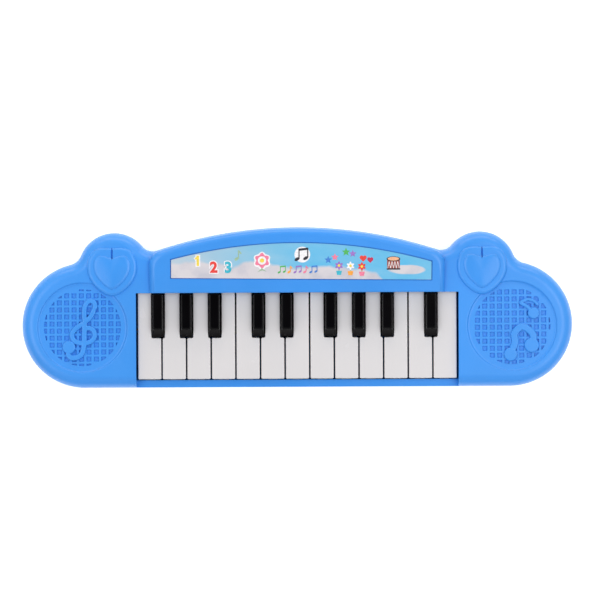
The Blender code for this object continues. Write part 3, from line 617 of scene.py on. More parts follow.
def bay(shell):
    """The battery bay: a deep box that opens downwards, with seats for the door and its two screws."""
    x0, y0, x1, y1 = BAY
    wall = BAY_WALL
    join(shell, prism("bay", chamfered(x0 - wall, y0 - wall, x1 + wall, y1 + wall, 3.6), 2.5, BAY_ROOF + 1.5))
    centres = {node: axis_of(node) for node in DOOR_SCREWS}
    for x, y in centres.values():
        join(shell, box("door_boss", x - 5.2, y - 2.9, 2.7, x + 5.2, y + 2.9, 11.9))
    cut(shell, prism("bay_hollow", chamfered(x0, y0, x1, y1, 3.0), 0, BAY_ROOF))
    for node, (x, y) in centres.items():
        way = DOOR_SCREWS[node]
        low, high = sorted((y - way * 3.5, y + way * 2.5))
        cut(
            shell,
            box("lug_seat", x - LUG_SEAT_HALF, low, 0, x + LUG_SEAT_HALF, high, FLOOR_TOP - 0.1),
            cylinder("door_pilot", (x, y), 1.2, 0, 10.5, 16),
        )
    for node, y in (("battery_contact_plus", y1 - 0.3), ("battery_contact_minus", y0 + 0.3)):
        x = axis_of(node)[0]
        cut(shell, box("tab_slit", x - 2.2, y - 0.5, BAY_ROOF - 0.5, x + 2.2, y + 0.5, BAY_ROOF + 2))


def speaker_seat(shell):
    """The ring that holds the speaker over its slots."""
    ring = cylinder("speaker_ring", SPEAKER, SPEAKER_RING, FLOOR_SUNK, 9.0, 64)
    cut(ring, cylinder("ring_hole", SPEAKER, SPEAKER_HOLE, 3.0, 10, 64))
    join(shell, ring)
    cut(shell, *sound_slots())


def screw_posts(shell):
    """The posts of the case screws, bored from below, and those that the board is screwed to."""
    for centre in map(axis_of, numbered("case_screw")):
        join(shell, cylinder("post", centre, POST_R, FLOOR_SUNK, SPLIT_LOW - 0.1, 32))
        head = ((HEAD_MOUTH_R, 0), (HEAD_MOUTH_R, FLOOR_BOTTOM), (HEAD_R, FLOOR_BOTTOM + 0.6), (HEAD_R, 9))
        cut(shell, stepped("head_hole", centre, head), cylinder("shank_hole", centre, 1.6, 5, 16, 16))
    for centre in map(axis_of, numbered("board_screw")):
        join(shell, cylinder("board_post", centre, BOARD_POST_R, FLOOR_SUNK, BOARD_TOP, 24))
        cut(shell, cylinder("board_pilot", centre, 1.1, 4, 8, 16))


def ribs(shell):
    """The ribs that the board rests on, and the saddles that the hinge rod lies in."""
    for x in BOARD_RIBS:
        join(shell, box("board_rest", x - RIB_HALF, -15, FLOOR_SUNK, x + RIB_HALF, 5, BOARD_TOP))
    front, rear = HINGE_Y - SADDLE_HALF, HINGE_Y + SADDLE_HALF
    for x in rod_supports():
        seat = arc((HINGE_Y, HINGE_Z), CLIP_R, 0, math.pi, 12, True) + [(HINGE_Y - CLIP_R, HINGE_Z)]
        profile = [(rear, HINGE_Z), *seat, (front, HINGE_Z), (front, FLOOR_SUNK), (rear, FLOOR_SUNK)]
        join(shell, side_prism("saddle", profile, x - RIB_HALF, x + RIB_HALF))


def switch_opening(shell):
    x, y = SWITCH
    corners = rectangle(x - 8, y - 4, x + 8, y + 4)
    cut(
        shell,
        prism("switch_recess", rounded_corners(corners, 1.2, 0.0), 0, 2.3),
        box("switch_slot", x - 4.3, y - 1.4, 0, x + 4.3, y + 1.4, 6),
    )


def foot_seats(shell):
    for foot in numbered("rubber_foot"):
        low, high = box_mm(foot)
        cut(shell, cylinder("foot_seat", axis_of(foot), (high.x - low.x) / 2 + 0.3, 0, FOOT_SEAT, 48))


def bottom_shell():
    """The lower case: a tray with a lip that fits inside the upper case, and all that is moulded into it."""
    rim = BASE_ROUND
    levels = [(FLOOR_BOTTOM + rim * (1 - up), 0.5 + rim * inward) for inward, up in reversed(rounding(10))]
    levels += [(SPLIT_LOW - 0.25, 0.03), (SPLIT_LOW, 0.25)]
    shell = loft("bottom_shell_fine", flat_rings(levels, case_outline))
    lip = prism("lip", case_outline(2.5), 12.0, 15.5)
    cut(lip, box("lip_gap", -100, -50, 11, 100, -40, 17))
    join(shell, lip)
    cut(shell, loft("hollow", flat_rings(BASE_HOLLOW, case_outline)))
    cut(shell, box("front_wall", -97.5, -45.9, 10.0, 97.5, -40, 14))
    bay(shell)
    speaker_seat(shell)
    screw_posts(shell)
    ribs(shell)
    switch_opening(shell)
    foot_seats(shell)
    settle(shell, "case", "case_plastic", "bottom_shell")


def battery_door():
    """The door with its two screw lugs, rounded edges and a patch of grip grooves."""
    x0, y0, x1, y1 = BAY
    outline = chamfered(x0 + DOOR_GAP, y0 + DOOR_GAP, x1 - DOOR_GAP, y1 - DOOR_GAP, 3.1)
    levels = [(FLOOR_BOTTOM + 0.5 * (1 - up), 0.5 * inward) for inward, up in reversed(rounding(4))]
    levels += [(DOOR_TOP - 0.15, 0.0), (DOOR_TOP, 0.15)]
    door = loft("battery_door_fine", [
        ring_at(rounded_corners(shrunk(outline, inward), 0.9, inward), z) for z, inward in levels
    ])
    for node, way in DOOR_SCREWS.items():
        x, y = axis_of(node)
        low, high = sorted((y - way * 4.5, y + way * 2.2))
        lug = rectangle(x - LUG_HALF, low, x + LUG_HALF, high)
        join(door, prism("lug", rounded_corners(lug, 0.8, 0.0), FLOOR_BOTTOM + 0.02, DOOR_TOP - 0.02))
        sink = ((2.6, 1), (2.6, FLOOR_BOTTOM + 0.02), (2.3, FLOOR_BOTTOM + 0.3), (2.3, 2.3))
        cut(door, cylinder("hole", (x, y), 1.3, 0, 5, 16), stepped("sink", (x, y), sink))
    for x in GRIP_GROOVES:
        groove = rounded_corners(rectangle(x - 0.6, -6.5, x + 0.6, 8.5), 0.59, 0.0)
        narrow = [(x + (px - x) * 0.4, py * 0.97 + 0.03) for px, py in groove]
        cut(door, loft("groove", [ring_at(groove, 1.0), ring_at(groove, 1.55), ring_at(narrow, 2.05)]))
    settle(door, "battery_door", "case_plastic", "battery_door")


def shrunk(outline, inward):
    """A convex outline drawn in by this much."""
    count, made = len(outline), []
    for i, point in enumerate(outline):
        before, after = outline[i - 1], outline[(i + 1) % count]
        a = Vector((point[0] - before[0], point[1] - before[1])).normalized()
        b = Vector((after[0] - point[0], after[1] - point[1])).normalized()
        normal_a, normal_b = Vector((-a.y, a.x)), Vector((-b.y, b.x))
        both = normal_a + normal_b
        made.append(tuple(Vector(point) + both * (2 * inward / both.length_squared)))
    return made


def rubber_feet():
    """Each foot is a disc with a rounded rim and a shallow dish in its face."""
    for node in numbered("rubber_foot"):
        low, high = box_mm(node)
        radius = (high.x - low.x) / 2
        steps = [(0.2, 0.25), (3.0, 0.2), (3.5, 0.0)]
        steps += [(radius - 0.9 * inward, 0.9 * (1 - up)) for inward, up in reversed(rounding(5))]
        foot = stepped(node + "_fine", axis_of(node), [*steps, (radius, high.z)], 48)
        settle(foot, "case", "foot_rubber", node, degrees=50)


def screws():
    """Cross-head screws with rounded heads, drawn from each packed screw's own size."""
    for node in [*numbered("case_screw"), *DOOR_SCREWS]:
        low, high = box_mm(node)
        centre, head_r = axis_of(node), (high.x - low.x) / 2
        head_high = low.z + (1.8 if head_r > 2.5 else 0.55)
        crown = (head_high - low.z) * 0.6
        crown_shares = reversed(rounding(5))
        steps = [(head_r * (1 - 0.35 * inward), low.z + crown * (1 - up)) for inward, up in crown_shares]
        steps += [(head_r, head_high), (1.0, head_high + 0.02)]
        z = head_high + 0.6
        while z < high.z - 1.4:  # the thread's turns
            steps += [(0.85, z), (1.0, z + 0.25), (0.85, z + 0.5)]
            z += 0.8
        steps += [(0.8, high.z - 1.0), (0.25, high.z)]
        made = stepped(node + "_fine", centre, steps, 32)
        x, y = centre
        for wide, deep in ((head_r * 0.55, 0.24), (0.24, head_r * 0.55)):
            cut(made, box("cross", x - wide, y - deep, low.z - 1, x + wide, y + deep, low.z + crown * 0.8))
        body = "battery_door" if node in DOOR_SCREWS else "case"
        settle(made, body, "screw_steel", node, degrees=40)


def power_switch():
    """The slide switch's knob, with rounded corners and three grooves for a fingertip."""
    low, high = box_mm("power_switch_knob")
    rings = []
    for inward, up in reversed(rounding(4)):
        corners = rectangle(low.x, low.y, high.x, high.y)
        inset = 0.3 * inward
        outline = rounded_corners(shrunk(corners, inset), 0.6, inset)
        rings.append(ring_at(outline, low.z + 0.3 * (1 - up)))
    rings.append([(x, y, 2.0) for x, y, _ in rings[-1]])
    knob = loft("power_switch_knob_fine", rings)
    middle_y = (low.y + high.y) / 2
    join(knob, box("neck", low.x + 0.6, middle_y - 1.1, 1.5, high.x - 0.6, middle_y + 1.1, high.z))
    step = (high.x - low.x) / 4
    for i in (1, 2, 3):
        x = low.x + i * step
        front, rear, deep = low.y - 1, high.y + 1, low.z + 0.3
        groove = [(front, low.z - 1), (front, deep), (rear, deep), (rear, low.z - 1)]
        cut(knob, side_prism("groove", groove, x - 0.2, x + 0.2))
    settle(knob, "power_switch_knob", "switch_plastic", "power_switch_knob")


# Keys


def middle(node):
    low, high = box_mm(node)
    return (low.x + high.x) / 2


def white_sides(node):
    """A white key's left and right sides at the front, and beside the black keys' notches."""
    low, high = box_mm(node)
    rear = [low.x, high.x]
    for centre in map(middle, BLACK_KEYS):
        if abs(centre - low.x) < 5:
            rear[0] = centre + NOTCH_HALF
        if abs(centre - high.x) < 5:
            rear[1] = centre - NOTCH_HALF
    return low.x, high.x, *rear


def key_centres():
    """Where the rear end of every key is, from left to right."""
    return sorted([sum(white_sides(n)[2:]) / 2 for n in WHITE_KEYS] + [middle(n) for n in BLACK_KEYS])


def rod_supports():
    """Both ends of the hinge rod, and the free places between the keys' clips where ribs hold it."""
    centres = key_centres()
    between = [(a + b) / 2 for a, b in zip(centres, centres[1:])]
    chosen = [min(between, key=lambda x: abs(x - wanted)) for wanted in (-66, -36, 7, 37, 66)]
    return [-96.8, *chosen, 96.8]


def polar(radius, angle):
    return (HINGE_Y + radius * math.cos(angle), HINGE_Z + radius * math.sin(angle))


def hinge_clip(x):
    """The arm and the open ring, at the rear of a key, that snap over the hinge rod."""
    start, end = math.radians(-60), math.radians(240)
    rod = (HINGE_Y, HINGE_Z)
    ring = arc(rod, CLIP_OUTER_R, start, end, 20) + [polar(CLIP_OUTER_R, end)]
    ring += reversed(arc(rod, CLIP_R, start, end, 20) + [polar(CLIP_R, end)])
    clip = side_prism("clip", ring, x - CLIP_HALF, x + CLIP_HALF)
    join(clip, box("arm", x - 2.4, 13.0, 15.7, x + 2.4, 17.4, 18.2))
    return clip


def rounded_corners(outline, radius, inset, steps=5):
    """Rounds every corner of a polygon: outer corners shrink with the inset, and inner ones grow."""
    rounded = []
    count = len(outline)
    for i, (x, y) in enumerate(outline):
        before, after = Vector(outline[i - 1]), Vector(outline[(i + 1) % count])
        corner = Vector((x, y))
        way_in, way_out = (before - corner).normalized(), (after - corner).normalized()
        outer = way_in.x * way_out.y - way_in.y * way_out.x < 0
        r = max(radius - inset, 0.05) if outer else radius + inset
        start, end, centre = corner + way_in * r, corner + way_out * r, corner + (way_in + way_out) * r
        first, last = heading(centre, start), heading(centre, end)
        turn = (last - first + math.pi) % (2 * math.pi) - math.pi
        for k in range(steps + 1):
            a = first + turn * k / steps
            rounded.append((centre.x + r * math.cos(a), centre.y + r * math.sin(a)))
    return rounded


def white_outline(sides, inset, rear=KEY_REAR, radius=0.75):
    """A white key from above, with a step wherever a black key's notch starts."""
    left, right, rear_left, rear_right = sides
    left_notch, right_notch = rear_left - left > 0.01, right - rear_right > 0.01
    front, step, rear = WHITE_FRONT + inset, NOTCH_FRONT - inset, rear - inset
    left, right, rear_left, rear_right = left + inset, right - inset, rear_left + inset, rear_right - inset
    outline = [(left, front), (right, front)]
    if right_notch:
        outline += [(right, step), (rear_right, step)]
    outline += [(rear_right, rear), (rear_left, rear)]
    if left_notch:
        outline += [(rear_left, step), (left, step)]
    return rounded_corners(outline, radius, inset)


def white_key(node):
    sides = white_sides(node)
    edge = 0.6
    levels = [(KEY_BOTTOM, 0.2), (KEY_BOTTOM + 0.2, 0.0)]
    levels += [(WHITE_TOP - edge * (1 - up), edge * inward) for inward, up in rounding(5)]
    key = loft(node + "_fine", [ring_at(white_outline(sides, inset), z) for z, inset in levels])
    cut(key, prism("hollow", white_outline(sides, 1.1, rear=7.0), 14, WHITE_TOP - 1.6))
    centre, rear_centre = sum(sides[:2]) / 2, sum(sides[2:]) / 2
    join(
        key,
        box("stop", centre - 3, WHITE_FRONT + 0.15, 12.6, centre + 3, WHITE_FRONT + 1.0, 17),
        box("hook", centre - 2.9, WHITE_FRONT - 2.2, 12.7, centre + 2.9, WHITE_FRONT + 0.5, 13.6),
        plunger(rear_centre, WHITE_DOME_Y),
        hinge_clip(rear_centre),
    )
    settle(key, node, "white_key_plastic", node)


def plunger(x, y):
    """The post under a key that presses its rubber dome."""
    half = PLUNGER_HALF
    return box("plunger", x - half, y - half, DOME_TOP + 0.3, x + half, y + half, WHITE_TOP - 1.0)


def rounded_box_ring(x, half, front, rear, z, radius):
    corners = rectangle(x - half, front, x + half, rear)
    return ring_at(rounded_corners(corners, radius, 0.0, 6), z)


def black_key(node):
    """A black key: upright foot, tapered head with a sloping front, and every upper edge rounded."""
    x = middle(node)
    low, high = box_mm(node)
    front, top = low.y, high.z
    half = BLACK_HALF
    # (height, half width, front, rear, corner radius)
    levels = [(KEY_BOTTOM, half, front, 8.2, 0.9), (22.6, half, front, 8.2, 0.9)]
    levels += [(23.2, half - 0.02, front + 0.35, 8.2, 0.9), (24.6, half - 0.18, front + 1.75, 8.18, 0.9)]
    levels += [(26.2, half - 0.36, front + 3.3, 8.15, 0.95)]
    for inward, up in rounding(6):
        width, depth = half - 0.48 - 0.75 * inward, front + 4.35 + 1.5 * inward
        z = BLACK_SHOULDER + (top - BLACK_SHOULDER) * up
        levels.append((z, width, depth, 8.12 - 0.5 * inward, 1.0 - 0.25 * inward))
    rings = [rounded_box_ring(x, w, a, b, z, r) for z, w, a, b, r in levels]
    key = loft(node + "_fine", rings)
    join(key, box("stem", x - half + 0.1, 6.0, KEY_BOTTOM + 0.1, x + half - 0.1, KEY_REAR, 23.4))
    inner = half - 1.2
    hollow = ((14, inner, -16.0, 5.0), (22.4, inner, -16.0, 5.0), (26.4, inner - 0.4, -11.9, 4.9))
    cut(key, loft("hollow", [rounded_box_ring(x, w, a, b, z, 0.4) for z, w, a, b in hollow]))
    join(key, box("post", x - 1.25, BLACK_DOME_Y - 1.25, 21.0, x + 1.25, BLACK_DOME_Y + 1.25, 26.5))
    join(key, plunger(x, BLACK_DOME_Y), hinge_clip(x))
    settle(key, node, "black_key_plastic", node)


# The rubber under the keys

STRIP_TOP, DOME_KEPT = 9.9, 0.27


def contact_strip():
    """The silicone strip on the circuit board. Its domes are pieces of their own, because they give way."""
    low, high = box_mm("key_contact_strip")
    corners = rectangle(low.x, low.y, high.x, high.y)
    levels = [(low.z, 0.0)] + [(STRIP_TOP - 0.3 * (1 - up), 0.3 * inward) for inward, up in rounding(4)]
    rings = [ring_at(rounded_corners(shrunk(corners, inset), 1.2, inset), z) for z, inset in levels]
    strip_piece = loft("key_contact_strip_fine", rings)
    settle(strip_piece, "case", "silicone", "key_contact_strip")
    for node in WHITE_KEYS:
        contact_dome(node, sum(white_sides(node)[2:]) / 2, WHITE_DOME_Y)
    for node in BLACK_KEYS:
        contact_dome(node, middle(node), BLACK_DOME_Y)


def contact_dome(node, x, y):
    """The dome under a key: a thin skirt and a firm crown, which its key presses flat."""
    foot = STRIP_TOP + 0.02
    profile = ((3.2, foot), (3.2, foot + 0.15), (2.9, foot + 0.3), (2.4, 10.6), (2.0, 11.3), (1.85, 11.75),
               (1.65, 11.93), (1.4, DOME_TOP), (0.7, DOME_TOP - 0.08), (0.1, DOME_TOP - 0.1))
    dome = stepped("dome_" + node, (x, y), profile, 32)
    settle(dome, "case", "silicone", degrees=60)
    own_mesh(dome)


# Materials


class Graph:
    """A short way to write a material's nodes."""

    def __init__(self, name):
        self.material = bpy.data.materials.new(name)
        self.material.use_nodes = True
        self.tree = self.material.node_tree
        self.shader = self.tree.nodes["Principled BSDF"]
        self.place = self.node("ShaderNodeTexCoord").outputs["Object"]

    def node(self, kind, **settings):
        made = self.tree.nodes.new(kind)
        for key, value in settings.items():
            setattr(made, key, value)
        return made

    def link(self, source, target):
        self.tree.links.new(source, target)

    def math(self, operation, *values, clamp=False):
        made = self.node("ShaderNodeMath", operation=operation, use_clamp=clamp)
        for socket, value in zip(made.inputs, values):
            if isinstance(value, (int, float)):
                socket.default_value = value
            else:
                self.link(value, socket)
        return made.outputs[0]

    def noise(self, scale, detail=2.0, roughness=0.5, stretch=None):
        """Noise with this many features to the metre."""
        made = self.node("ShaderNodeTexNoise")
        made.inputs["Scale"].default_value = scale
        made.inputs["Detail"].default_value = detail
        made.inputs["Roughness"].default_value = roughness
        place = self.place
        if stretch:
            mapping = self.node("ShaderNodeMapping")
            mapping.inputs["Scale"].default_value = stretch
            self.link(place, mapping.inputs["Vector"])
            place = mapping.outputs[0]
        self.link(place, made.inputs["Vector"])
        return made.outputs["Fac"]

    def ramp(self, factor, *stops, smooth=False):
        """A colour ramp through (position, colour) stops."""
        made = self.node("ShaderNodeValToRGB")
        made.color_ramp.interpolation = "EASE" if smooth else "LINEAR"
        elements = made.color_ramp.elements
        for i, (position, colour) in enumerate(stops):
            element = elements[i] if i < 2 else elements.new(position)
            element.position = position
            element.color = (*colour, 1) if len(colour) == 3 else colour
        self.link(factor, made.inputs["Fac"])
        return made.outputs["Color"]

    def mix(self, factor, a, b):
        made = self.node("ShaderNodeMix", data_type="RGBA")
        for socket, value in ((made.inputs[0], factor), (made.inputs[6], a), (made.inputs[7], b)):
            if isinstance(value, tuple):
                socket.default_value = (*value, 1)
            elif isinstance(value, (int, float)):
                socket.default_value = value
            else:
                self.link(value, socket)
        return made.outputs[2]

    def spread(self, factor, low, high):
        """Maps noise, which mostly lies from 0.3 to 0.7, to a range."""
        made = self.node("ShaderNodeMapRange")
        for name, value in (("From Min", 0.3), ("From Max", 0.7), ("To Min", low), ("To Max", high)):
            made.inputs[name].default_value = value
        self.link(factor, made.inputs["Value"])
        return made.outputs[0]

    def bump(self, height, distance, strength=1.0):
        made = self.node("ShaderNodeBump")
        made.inputs["Strength"].default_value = strength
        made.inputs["Distance"].default_value = distance
        self.link(height, made.inputs["Height"])
        self.link(made.outputs[0], self.shader.inputs["Normal"])

    def set(self, **values):
        for name, value in values.items():
            socket = self.shader.inputs[name.replace("_", " ")]
            if hasattr(value, "is_linked"):
                self.link(value, socket)
            else:
                socket.default_value = value


def shades(colour, spread):
    """The same colour a little darker and a little lighter."""
    return tuple(c * (1 - spread) for c in colour), tuple(min(c * (1 + spread), 1) for c in colour)


def plastic(name, colour, roughness, spread=0.04, grain=3500, grain_depth=0.000012, specular=0.5):
    """Moulded plastic: faint flow shading, uneven gloss and a fine moulded grain."""
    g = Graph(name)
    dark, light = shades(colour, spread)
    flow = g.noise(16, 3, 0.5, stretch=(1.0, 1.6, 1.0))
    g.set(Base_Color=g.ramp(flow, (0.32, dark), (0.68, light)))
    g.set(Roughness=g.spread(g.noise(60, 4, 0.6), roughness - 0.035, roughness + 0.035))
    g.set(Specular_IOR_Level=specular)
    g.bump(g.noise(grain, 2), grain_depth, 0.6)
    return g.material


def metal(name, colour, roughness, brushed=(1, 1, 1), metallic=1.0):
    """Metal with streaks along its drawn or pressed direction."""
    g = Graph(name)
    dark, light = shades(colour, 0.12)
    streaks = g.noise(900, 3, 0.6, stretch=brushed)
    g.set(Base_Color=g.ramp(streaks, (0.3, dark), (0.7, light)))
    g.set(Roughness=g.spread(streaks, roughness - 0.06, roughness + 0.08))
    g.set(Metallic=metallic)
    g.bump(streaks, 0.000008, 0.5)
    return g.material


def circuit_board():
    """Green solder mask over a grid of copper."""
    g = Graph("board_green")
    cells = g.node("ShaderNodeTexBrick", offset=0.5)
    cells.inputs["Scale"].default_value = 260.0
    cells.inputs["Mortar Size"].default_value = 0.012
    cells.inputs["Color1"].default_value = (0.012, 0.13, 0.04, 1)
    cells.inputs["Color2"].default_value = (0.016, 0.16, 0.05, 1)
    cells.inputs["Mortar"].default_value = (0.05, 0.3, 0.09, 1)
    g.link(g.place, cells.inputs["Vector"])
    g.set(Base_Color=g.mix(g.spread(g.noise(120, 3), 0.0, 0.25), cells.outputs["Color"], (0.01, 0.09, 0.03)))
    g.set(Roughness=g.spread(g.noise(300), 0.3, 0.42))
    g.bump(cells.outputs["Fac"], 0.00003, 0.5)
    return g.material


def paper_cone():
    """Black felted paper with rings pressed into it round the speaker's axis."""
    g = Graph("speaker_cone_paper")
    centre = g.node("ShaderNodeMapping")
    speaker = box_mm("speaker_cone")
    middle_point = (speaker[0] + speaker[1]) / 2 * MM
    centre.inputs["Location"].default_value = (-middle_point.x, -middle_point.y, 0)
    g.link(g.place, centre.inputs["Vector"])
    rings = g.node("ShaderNodeTexWave", wave_type="RINGS", rings_direction="Z")
    rings.inputs["Scale"].default_value = 120.0
    g.link(centre.outputs[0], rings.inputs["Vector"])
    fibres = g.noise(1800, 4, 0.7)
    g.set(Base_Color=g.ramp(fibres, (0.3, (0.012, 0.012, 0.013)), (0.7, (0.035, 0.034, 0.033))))
    g.set(Roughness=g.spread(fibres, 0.75, 0.95))
    g.bump(g.math("ADD", rings.outputs["Fac"], g.math("MULTIPLY", fibres, 0.4)), 0.0001, 0.7)
    return g.material


def battery_sleeve():
    """A printed cell sleeve: a dark body, and a gold band at the terminal end."""
    g = Graph("battery_sleeve")
    parts = g.node("ShaderNodeSeparateXYZ")
    g.link(g.place, parts.inputs[0])
    low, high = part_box("battery_cell_1")
    share = g.math("DIVIDE", g.math("SUBTRACT", parts.outputs["Y"], low.y), high.y - low.y)
    bands = g.ramp(
        share, (0.0, (0.5, 0.5, 0.5)), (0.03, (0.02, 0.02, 0.022)), (0.62, (0.02, 0.02, 0.022)),
        (0.63, (0.6, 0.33, 0.05)), (0.97, (0.6, 0.33, 0.05)), (1.0, (0.5, 0.5, 0.5)),
    )
    g.set(Base_Color=g.mix(g.spread(g.noise(500), 0.0, 0.12), bands, (0.3, 0.3, 0.3)))
    g.set(Roughness=g.spread(g.noise(80), 0.22, 0.34))
    g.set(Metallic=0.55)
    g.bump(g.noise(900), 0.00001, 0.4)
    return g.material


def cloudy_sky():
    """The sticker's print: a sky that deepens to the right, a bank of cloud below and one small cloud."""
    g = Graph("sticker_sky")
    parts = g.node("ShaderNodeSeparateXYZ")
    g.link(g.place, parts.inputs[0])
    x, y = parts.outputs["X"], parts.outputs["Y"]
    low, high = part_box("panel_label")
    across = g.math("DIVIDE", g.math("SUBTRACT", x, low.x), high.x - low.x)
    up = g.math("DIVIDE", g.math("SUBTRACT", y, low.y), high.y - low.y)
    sky = g.ramp(across, (0.0, SKY_PALE), (0.3, SKY_LEFT), (0.55, SKY_MIDDLE), (1.0, SKY_RIGHT))
    wisps = g.noise(70, 4, 0.55, stretch=(0.6, 1.6, 1.0))
    sky = g.mix(g.spread(wisps, 0.0, 0.14), sky, (0.6, 0.66, 0.7))
    bank = g.ramp(across, *[(at, (level,) * 3) for at, level in CLOUD_BANK], smooth=True)
    puffs = g.math("MULTIPLY", g.math("SUBTRACT", g.noise(120, 3, 0.5), 0.5), 0.22)
    depth = g.math("SUBTRACT", g.math("ADD", bank, puffs), up)
    cloud = g.math("MULTIPLY", depth, 12.0, clamp=True)
    small_x = g.math("DIVIDE", g.math("SUBTRACT", across, 0.905), 0.075)
    small_y = g.math("DIVIDE", g.math("SUBTRACT", up, 0.27), 0.13)
    wide = g.math("POWER", g.math("ABSOLUTE", small_x), 2.4)
    tall = g.math("POWER", g.math("ABSOLUTE", small_y), 2.0)
    reach = g.math("ADD", wide, tall)
    edge = g.math("ADD", 1.0, g.math("MULTIPLY", puffs, 3.0))
    small = g.math("MULTIPLY", g.math("SUBTRACT", edge, reach), 3.0, clamp=True)
    both = g.math("MAXIMUM", cloud, small)
    shade = g.ramp(g.noise(90, 3), (0.35, CLOUD_SHADE), (0.6, CLOUD_LIGHT))
    g.set(Base_Color=g.mix(both, sky, shade))
    g.set(Roughness=g.spread(g.noise(150), 0.28, 0.36))
    g.bump(g.noise(1200), 0.00001, 0.4)
    return g.material


BODY_BLUE = (0.034, 0.262, 0.77)
SKY_PALE, SKY_LEFT = (0.42, 0.53, 0.63), (0.2, 0.48, 0.68)
SKY_MIDDLE, SKY_RIGHT = (0.1, 0.45, 0.74), (0.09, 0.44, 0.72)
CLOUD_LIGHT, CLOUD_SHADE = (0.61, 0.59, 0.63), (0.5, 0.5, 0.57)
CLOUD_BANK = (  # its top, as a share of the sticker's height, at each share of its width
    (0.0, 0.5), (0.1, 0.56), (0.17, 0.5), (0.23, 0.34), (0.29, 0.52), (0.35, 0.56), (0.4, 0.42),
    (0.5, 0.38), (0.64, 0.4), (0.72, 0.36), (0.78, 0.2), (0.83, 0.0), (1.0, 0.0),
)
INKS = {
    "yellow": (0.8, 0.62, 0.08), "red": (0.72, 0.05, 0.04), "cyan": (0.04, 0.42, 0.55),
    "pink": (0.78, 0.2, 0.32),
    "white": (0.8, 0.8, 0.84), "black": (0.02, 0.018, 0.03), "crimson": (0.5, 0.02, 0.08),
    "blue": (0.05, 0.2, 0.6), "green": (0.08, 0.42, 0.1), "leaf": (0.3, 0.45, 0.3),
    "peach": (0.8, 0.42, 0.25), "brown": (0.3, 0.07, 0.05), "orange": (0.85, 0.35, 0.05),
    "violet": (0.3, 0.15, 0.5),
}


def ink(name, colour):
    """Screen-printed ink: slightly uneven in depth and gloss."""
    g = Graph("ink_" + name)
    dark, light = shades(colour, 0.14)
    g.set(Base_Color=g.ramp(g.noise(900, 3, 0.6), (0.3, dark), (0.7, light)))
    g.set(Roughness=g.spread(g.noise(400), 0.28, 0.4))
    g.bump(g.noise(2500), 0.000006, 0.4)
    return g.material


# By slot
MATERIALS = {
    "case_plastic": plastic("blue_case_plastic", BODY_BLUE, 0.33),
    "white_key_plastic": plastic(
        "white_key_plastic", (0.62, 0.615, 0.635), 0.24, spread=0.015, grain_depth=0.000005
    ),
    "black_key_plastic": plastic(
        "black_key_plastic", (0.002, 0.0018, 0.0024), 0.16, spread=0.2, grain_depth=0.000003, specular=0.1
    ),
    "switch_plastic": plastic("switch_black_plastic", (0.012, 0.012, 0.013), 0.5, spread=0.2),
    "silicone": plastic("silicone_rubber", (0.42, 0.42, 0.41), 0.62, grain=1500, grain_depth=0.00002),
    "chip_epoxy": plastic("chip_epoxy", (0.01, 0.01, 0.01), 0.25, spread=0.3, grain=900, grain_depth=0.00003),
    "foot_rubber": plastic(
        "foot_rubber", (0.03, 0.03, 0.032), 0.7, spread=0.2, grain=900, grain_depth=0.00003
    ),
    "magnet": plastic(
        "ferrite_magnet", (0.035, 0.035, 0.038), 0.55, spread=0.2, grain=700, grain_depth=0.00004
    ),
    "wire_red": plastic("wire_sleeve_red", (0.5, 0.015, 0.015), 0.4),
    "wire_black": plastic("wire_sleeve_black", (0.012, 0.012, 0.012), 0.4, spread=0.15),
    "steel": metal("drawn_steel", (0.56, 0.57, 0.58), 0.24, (0.05, 1, 1)),
    "speaker_steel": metal("pressed_steel", (0.5, 0.51, 0.52), 0.36),
    "contact_metal": metal("nickel_contact", (0.62, 0.6, 0.56), 0.26, (1, 1, 0.1)),
    "screw_steel": metal("screw_steel", (0.5, 0.5, 0.52), 0.3),
    "capacitor_can": metal("aluminium_can", (0.6, 0.6, 0.62), 0.3, (1, 1, 0.1), metallic=0.9),
    "board": circuit_board(),
    "speaker_paper": paper_cone(),
    "battery_jacket": battery_sleeve(),
    "label_print": cloudy_sky(),
}


# Printed panel


def label():
    outline = label_outline()
    sticker = on_console("panel_sticker", ((outline, LABEL_SEAT + 0.02), (outline, LABEL_FACE)))
    return settle(sticker, "case", "label_print", "panel_label")


def star(centre, radius, inner=0.45, points=5, turn=90):
    outline = []
    for i in range(points * 2):
        r = radius * (inner if i % 2 else 1)
        a = math.radians(turn) + math.pi * i / points
        outline.append((centre[0] + r * math.cos(a), centre[1] + r * math.sin(a)))
    return outline


def petals(centre, radius, count=5, depth=0.12, turn=90):
    """A flower's outline: a circle with waves."""
    outline = []
    for i in range(count * 12):
        a = 2 * math.pi * i / (count * 12)
        r = radius * (1 - depth + depth * math.cos(count * a))
        turned = a + math.radians(turn)
        outline.append((centre[0] + r * math.cos(turned), centre[1] + r * math.sin(turned)))
    return outline


def disc(centre, radius, count=28):
    return circle(centre, radius, count)


def bar(a, b, half):
    """A straight stroke from a to b."""
    length = math.dist(a, b)
    nx, ny = (a[1] - b[1]) / length * half, (b[0] - a[0]) / length * half
    return [(a[0] + nx, a[1] + ny), (a[0] - nx, a[1] - ny), (b[0] - nx, b[1] - ny), (b[0] + nx, b[1] + ny)]


def leaning(centre, size_x, size_y, lean=0.35, count=20):
    """A note's head: an oval that leans."""
    outline = []
    for i in range(count):
        a = 2 * math.pi * i / count
        x, y = size_x * math.cos(a), size_y * math.sin(a)
        outline.append((centre[0] + x, centre[1] + y + lean * x))
    return outline


